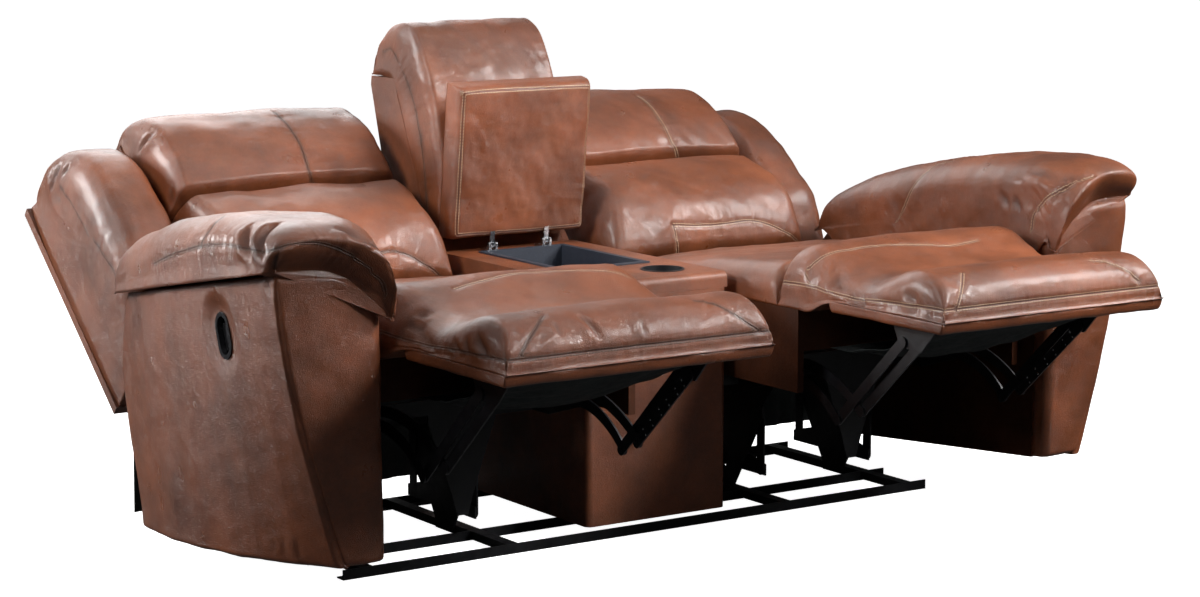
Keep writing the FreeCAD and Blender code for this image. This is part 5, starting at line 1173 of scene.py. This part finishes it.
CHAISE_EDGE = [(0.196, -0.300, 0.513), (0.196, -0.400, 0.517), (0.196, -0.460, 0.513),
               (0.196, -0.550, 0.512), (0.196, -0.650, 0.516), (0.196, -0.760, 0.520),
               (0.199, -0.797, 0.521), (0.215, -0.805, 0.521), (0.320, -0.806, 0.521),
               (0.480, -0.806, 0.521), (0.640, -0.806, 0.521), (0.738, -0.805, 0.521),
               (0.754, -0.797, 0.521), (0.757, -0.760, 0.520), (0.757, -0.650, 0.516),
               (0.758, -0.550, 0.512), (0.766, -0.460, 0.513), (0.774, -0.400, 0.517),
               (0.774, -0.300, 0.513)]
CONSOLE_EDGE = [(0.168, 0.455, 0.600), (0.168, 0.470, 0.700), (0.168, 0.500, 0.800), (0.168, 0.545, 0.880),
                (0.168, 0.600, 0.935), (0.168, 0.640, 0.930)]
SEAMS = {
    "headrest_left": [
        seam([(-0.410, 0.681, 0.814), (-0.411, 0.616, 0.789), (-0.412, 0.557, 0.750),
              (-0.416, 0.513, 0.701), (-0.403, 0.521, 0.659), (-0.390, 0.538, 0.626)], DARK),
    ],
    "lumbar_left": [
        seam([(-0.348, 0.276, 0.554), (-0.310, 0.276, 0.541), (-0.267, 0.272, 0.512),
              (-0.210, 0.292, 0.461)], DARK),
        seam([(-0.550, 0.277, 0.556), (-0.500, 0.274, 0.551), (-0.430, 0.272, 0.549),
              (-0.385, 0.273, 0.552), (-0.348, 0.276, 0.554)], DARK),
        seam([(-0.555, 0.277, 0.556), (-0.552, 0.267, 0.530), (-0.550, 0.269, 0.503),
              (-0.545, 0.286, 0.473)], DARK),
    ],
    "arm_pad_left": [
        seam([(-1.008, 0.031, 0.605), (-1.014, -0.075, 0.637), (-1.021, -0.188, 0.665),
              (-1.020, -0.295, 0.680), (-1.022, -0.390, 0.683), (-1.018, -0.453, 0.687),
              (-0.990, -0.477, 0.700), (-0.945, -0.490, 0.698), (-0.897, -0.487, 0.684),
              (-0.847, -0.476, 0.663), (-0.805, -0.467, 0.636), (-0.787, -0.455, 0.605),
              (-0.782, -0.420, 0.585)], DARK, depth=0.0045, width=0.0055, pucker=0.0012),
        seam([(-0.950, -0.165, 0.724), (-0.975, -0.194, 0.717), (-1.005, -0.209, 0.701),
              (-1.017, -0.199, 0.681), (-1.021, -0.190, 0.666)], DARK),
    ],
    "wing_left": [
        seam([(-0.892, 0.726, 0.674), (-0.892, 0.639, 0.630), (-0.894, 0.594, 0.599),
              (-0.895, 0.534, 0.573), (-0.893, 0.472, 0.535), (-0.887, 0.433, 0.501)], DARK, depth=0.0030,
             width=0.0050, pucker=0.0012),
    ],
    "headrest_right": [
        seam([(0.512, 0.651, 0.806), (0.516, 0.616, 0.792), (0.515, 0.573, 0.767), (0.517, 0.540, 0.737),
              (0.521, 0.515, 0.701), (0.541, 0.525, 0.657), (0.565, 0.552, 0.616), (0.578, 0.577, 0.584)],
             LIGHT),
    ],
    "lumbar_right": [
        seam([(0.357, 0.277, 0.556), (0.359, 0.267, 0.530), (0.363, 0.269, 0.503), (0.370, 0.286, 0.473)],
             LIGHT),
        seam([(0.357, 0.277, 0.556), (0.428, 0.274, 0.550), (0.493, 0.272, 0.549), (0.561, 0.273, 0.551),
              (0.615, 0.270, 0.538), (0.666, 0.268, 0.512), (0.705, 0.272, 0.480)], LIGHT, pucker=0.0012),
    ],
    "arm_pad_right": [
        seam([(0.900, -0.100, 0.712), (0.836, -0.072, 0.700), (0.828, -0.042, 0.691),
              (0.800, -0.027, 0.669), (0.783, -0.009, 0.637), (0.781, 0.010, 0.599), (0.798, 0.036, 0.559)],
             LIGHT,
             depth=0.0030),
        seam([(0.865, -0.492, 0.703), (0.841, -0.488, 0.699), (0.812, -0.477, 0.689),
              (0.794, -0.455, 0.671), (0.784, -0.423, 0.643), (0.779, -0.400, 0.615),
              (0.779, -0.395, 0.585)], LIGHT, depth=0.0040, pucker=0.0014),
    ],
    "chaise_left": [
        seam([(-0.643, -0.747, 0.586), (-0.676, -0.777, 0.571), (-0.698, -0.792, 0.556),
              (-0.716, -0.803, 0.540), (-0.724, -0.807, 0.529)], DARK, depth=0.0030, pucker=0.0012),
        seam([(-0.328, -0.745, 0.583), (-0.305, -0.764, 0.580), (-0.283, -0.785, 0.568),
              (-0.256, -0.798, 0.547), (-0.236, -0.805, 0.531), (-0.224, -0.806, 0.522)], DARK,
             depth=0.0030, pucker=0.0012),
        seam([(-0.628, -0.429, 0.589), (-0.564, -0.412, 0.595), (-0.471, -0.388, 0.599),
              (-0.390, -0.396, 0.598), (-0.305, -0.409, 0.594), (-0.250, -0.440, 0.585)], LIGHT,
             depth=0.0020, pucker=0.0004),
        seam(mirrored(CHAISE_EDGE), DARK, depth=0.0030, width=0.0045, pucker=0.0006),
    ],
    "chaise_right": [
        seam([(0.288, -0.753, 0.582), (0.261, -0.784, 0.562), (0.241, -0.801, 0.536),
              (0.234, -0.804, 0.517)], LIGHT, depth=0.0030, pucker=0.0012),
        seam([(0.606, -0.759, 0.581), (0.642, -0.766, 0.576), (0.676, -0.789, 0.560),
              (0.699, -0.802, 0.537)], LIGHT, depth=0.0030, pucker=0.0012),
        seam([(0.204, -0.384, 0.549), (0.226, -0.402, 0.574), (0.273, -0.419, 0.587),
              (0.355, -0.420, 0.591), (0.464, -0.441, 0.587), (0.519, -0.452, 0.583),
              (0.600, -0.440, 0.585)], LIGHT, depth=0.0020, pucker=0.0004),
        seam(CHAISE_EDGE, LIGHT, depth=0.0030, width=0.0045, pucker=0.0006),
    ],
    "console_cushion": [
        seam(mirrored(CONSOLE_EDGE), DARK, depth=0.0030, width=0.0050, pucker=0.0014),
        seam(CONSOLE_EDGE, DARK, depth=0.0030, width=0.0050, pucker=0.0014),
    ],
}
FOLDS = {
    "headrest_left": [
        ((-0.728, 0.688, 0.737), (-0.709, 0.641, 0.783), 0.006, 0.0070),
        ((-0.714, 0.524, 0.666), (-0.685, 0.549, 0.615), 0.007, 0.0030),
        ((-0.720, 0.554, 0.683), (-0.717, 0.537, 0.638), 0.007, 0.0030),
        ((-0.674, 0.524, 0.656), (-0.651, 0.553, 0.612), 0.007, 0.0030),
    ],
    "arm_pad_left": [
        ((-0.992, -0.332, 0.719), (-1.023, -0.404, 0.668), 0.007, 0.0100),
        ((-0.964, -0.393, 0.729), (-1.022, -0.444, 0.670), 0.007, 0.0100),
        ((-1.001, -0.475, 0.691), (-1.006, -0.457, 0.651), 0.005, 0.0040),
        ((-0.804, -0.466, 0.633), (-0.787, -0.441, 0.580), 0.006, 0.0060),
        ((-0.881, -0.458, 0.724), (-0.855, -0.490, 0.698), 0.010, 0.0040),
    ],
    "wing_left": [
        ((-0.883, 0.777, 0.712), (-0.891, 0.760, 0.667), 0.005, 0.0050),
        ((-0.880, 0.741, 0.720), (-0.891, 0.752, 0.681), 0.005, 0.0050),
        ((-0.878, 0.698, 0.722), (-0.888, 0.717, 0.698), 0.005, 0.0050),
        ((-0.891, 0.778, 0.666), (-0.891, 0.723, 0.641), 0.005, 0.0050),
        ((-0.869, 0.432, 0.557), (-0.879, 0.410, 0.477), 0.006, 0.0040),
    ],
    "arm_side_left": [
        ((-0.937, -0.344, 0.155), (-0.925, -0.338, 0.117), 0.007, 0.0008),
        ((-0.923, -0.373, 0.153), (-0.912, -0.368, 0.116), 0.007, 0.0008),
        ((-0.942, -0.318, 0.145), (-0.935, -0.315, 0.120), 0.007, 0.0008),
        ((-1.001, -0.419, 0.635), (-1.000, -0.435, 0.603), 0.006, 0.0020),
    ],
    "arm_pad_right": [
        ((0.785, -0.434, 0.643), (0.831, -0.483, 0.673), 0.006, 0.0070),
        ((0.789, -0.366, 0.704), (0.802, -0.445, 0.697), 0.008, 0.0040),
        ((0.803, -0.449, 0.695), (0.846, -0.489, 0.688), 0.006, 0.0050),
        ((0.783, -0.300, 0.655), (0.781, -0.335, 0.625), 0.008, 0.0030),
        ((0.783, -0.345, 0.650), (0.781, -0.365, 0.620), 0.008, 0.0030),
    ],
    "chaise_left": [
        ((-0.757, -0.704, 0.550), (-0.759, -0.746, 0.521), 0.008, 0.0050),
        ((-0.580, -0.759, 0.580), (-0.558, -0.799, 0.541), 0.007, 0.0040),
        ((-0.754, -0.624, 0.535), (-0.758, -0.650, 0.515), 0.006, 0.0035),
        ((-0.757, -0.672, 0.542), (-0.760, -0.681, 0.517), 0.006, 0.0035),
        ((-0.639, -0.771, 0.574), (-0.634, -0.791, 0.553), 0.006, 0.0025),
        ((-0.669, -0.782, 0.566), (-0.645, -0.789, 0.557), 0.005, 0.0020),
        ((-0.472, -0.789, 0.562), (-0.469, -0.802, 0.539), 0.006, 0.0020),
        ((-0.683, -0.795, 0.552), (-0.652, -0.790, 0.556), 0.005, 0.0020),
        ((-0.739, -0.460, 0.558), (-0.718, -0.498, 0.556), 0.007, 0.0040),
        ((-0.756, -0.460, 0.539), (-0.742, -0.518, 0.536), 0.008, 0.0050),
        ((-0.753, -0.493, 0.530), (-0.753, -0.552, 0.515), 0.007, 0.0050),
        ((-0.768, -0.450, 0.514), (-0.757, -0.510, 0.511), 0.006, 0.0040),
        ((-0.754, -0.529, 0.514), (-0.756, -0.568, 0.507), 0.006, 0.0040),
    ],
    "chaise_right": [
        ((0.209, -0.424, 0.546), (0.202, -0.497, 0.523), 0.007, 0.0050),
        ((0.224, -0.437, 0.558), (0.200, -0.513, 0.518), 0.007, 0.0050),
        ((0.204, -0.508, 0.525), (0.195, -0.562, 0.500), 0.006, 0.0050),
        ((0.200, -0.384, 0.542), (0.199, -0.425, 0.523), 0.006, 0.0040),
        ((0.201, -0.555, 0.519), (0.195, -0.575, 0.498), 0.006, 0.0040),
        ((0.194, -0.684, 0.536), (0.196, -0.726, 0.530), 0.007, 0.0040),
        ((0.198, -0.752, 0.510), (0.197, -0.777, 0.498), 0.005, 0.0030),
        ((0.685, -0.797, 0.548), (0.700, -0.804, 0.528), 0.005, 0.0030),
    ],
}


# Settings, operators and panel


class LoveseatSettings(bpy.types.PropertyGroup):
    """Sizes and colours of the upholstery."""

    leather_colour: bpy.props.FloatVectorProperty(
        name="Leather", description="Main colour of the leather", default=(0.225, 0.062, 0.021), min=0,
        max=1, size=3, subtype="COLOR")
    dark_share: bpy.props.FloatProperty(
        name="Dark Clouds", description="How dark the leather's clouds are, as a share of its colour",
        default=0.34, min=0.1, max=1, subtype="FACTOR")
    light_thread: bpy.props.FloatVectorProperty(
        name="Light Thread", description="Colour of the light thread", default=(0.62, 0.43, 0.28), min=0,
        max=1, size=3, subtype="COLOR")
    lining_colour: bpy.props.FloatVectorProperty(
        name="Lining", description="Colour of the dark lining", default=(0.004, 0.006, 0.006), min=0,
        max=1, size=3, subtype="COLOR")
    spacing: bpy.props.FloatProperty(
        name="Spacing", description="Distance between the points of a pad's surface", default=0.0045,
        min=0.003, max=0.02, subtype="DISTANCE", unit="LENGTH")
    fold_depth: bpy.props.FloatProperty(
        name="Folds", description="Depth of the pleats, as a share of what was drawn", default=1.5, min=0,
        max=2, subtype="FACTOR")


class LOVESEAT_OT_add_finishes(bpy.types.Operator):
    """Gives the pieces of the frame their finishes"""

    bl_idname = "loveseat.add_finishes"
    bl_label = "Add finishes"
    bl_options = {"REGISTER", "UNDO"}

    def execute(self, context):
        make_finishes()
        return {"FINISHED"}


class LOVESEAT_OT_add_seats(bpy.types.Operator):
    """Adds the seat cushions, the footrest pads and the bands below them"""

    bl_idname = "loveseat.add_seats"
    bl_label = "Add seats"
    bl_options = {"REGISTER", "UNDO"}

    def execute(self, context):
        make_seats()
        return {"FINISHED"}


class LOVESEAT_OT_add_backs(bpy.types.Operator):
    """Adds the lumbar pads, the headrests and the wings"""

    bl_idname = "loveseat.add_backs"
    bl_label = "Add backs"
    bl_options = {"REGISTER", "UNDO"}

    def execute(self, context):
        make_backs()
        return {"FINISHED"}


class LOVESEAT_OT_add_arms(bpy.types.Operator):
    """Adds the arms' side and front panels and their pads"""

    bl_idname = "loveseat.add_arms"
    bl_label = "Add arms"
    bl_options = {"REGISTER", "UNDO"}

    def execute(self, context):
        make_arms()
        return {"FINISHED"}


class LOVESEAT_OT_add_console(bpy.types.Operator):
    """Adds the cushion on the console's back and the padded lid"""

    bl_idname = "loveseat.add_console"
    bl_label = "Add console"
    bl_options = {"REGISTER", "UNDO"}

    def execute(self, context):
        make_console()
        return {"FINISHED"}


class LOVESEAT_OT_add_cloths(bpy.types.Operator):
    """Adds the linings under the footrests and the skirts behind the mechanisms"""

    bl_idname = "loveseat.add_cloths"
    bl_label = "Add cloths"
    bl_options = {"REGISTER", "UNDO"}

    def execute(self, context):
        make_cloths()
        return {"FINISHED"}


class LOVESEAT_OT_add_fittings(bpy.types.Operator):
    """Adds the rivets of the footrest links"""

    bl_idname = "loveseat.add_fittings"
    bl_label = "Add fittings"
    bl_options = {"REGISTER", "UNDO"}

    def execute(self, context):
        make_fittings()
        return {"FINISHED"}


class LOVESEAT_OT_add_stage(bpy.types.Operator):
    """Adds the floor, the lamps and the camera"""

    bl_idname = "loveseat.add_stage"
    bl_label = "Add stage"
    bl_options = {"REGISTER", "UNDO"}

    def execute(self, context):
        make_stage()
        return {"FINISHED"}


OPERATORS = (
    LOVESEAT_OT_add_finishes,
    LOVESEAT_OT_add_seats,
    LOVESEAT_OT_add_backs,
    LOVESEAT_OT_add_arms,
    LOVESEAT_OT_add_console,
    LOVESEAT_OT_add_cloths,
    LOVESEAT_OT_add_fittings,
    LOVESEAT_OT_add_stage,
)


class LOVESEAT_PT_main(bpy.types.Panel):
    """Settings and buttons of the loveseat"""

    bl_idname = "LOVESEAT_PT_main"
    bl_label = "Reclining Loveseat"
    bl_space_type = "VIEW_3D"
    bl_region_type = "UI"
    bl_category = "Loveseat"

    def draw(self, context):
        for name in LoveseatSettings.__annotations__:
            self.layout.prop(context.scene.loveseat, name)
        for kind in OPERATORS:
            self.layout.operator(kind.bl_idname)


CLASSES = (LoveseatSettings, *OPERATORS, LOVESEAT_PT_main)


def register():
    """Registers the settings, the operators and the panel."""
    for kind in CLASSES:
        bpy.utils.register_class(kind)
    bpy.types.Scene.loveseat = bpy.props.PointerProperty(type=LoveseatSettings)


def unregister():
    """Takes them away again."""
    del bpy.types.Scene.loveseat
    for kind in reversed(CLASSES):
        bpy.utils.unregister_class(kind)


def main():
    """Dresses the loveseat by its operators, in order."""
    register()
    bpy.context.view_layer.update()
    bpy.ops.loveseat.add_finishes()
    bpy.ops.loveseat.add_seats()
    bpy.ops.loveseat.add_backs()
    bpy.ops.loveseat.add_arms()
    bpy.ops.loveseat.add_console()
    bpy.ops.loveseat.add_cloths()
    bpy.ops.loveseat.add_fittings()
    bpy.ops.loveseat.add_stage()


if __name__ == "__main__":
    main()
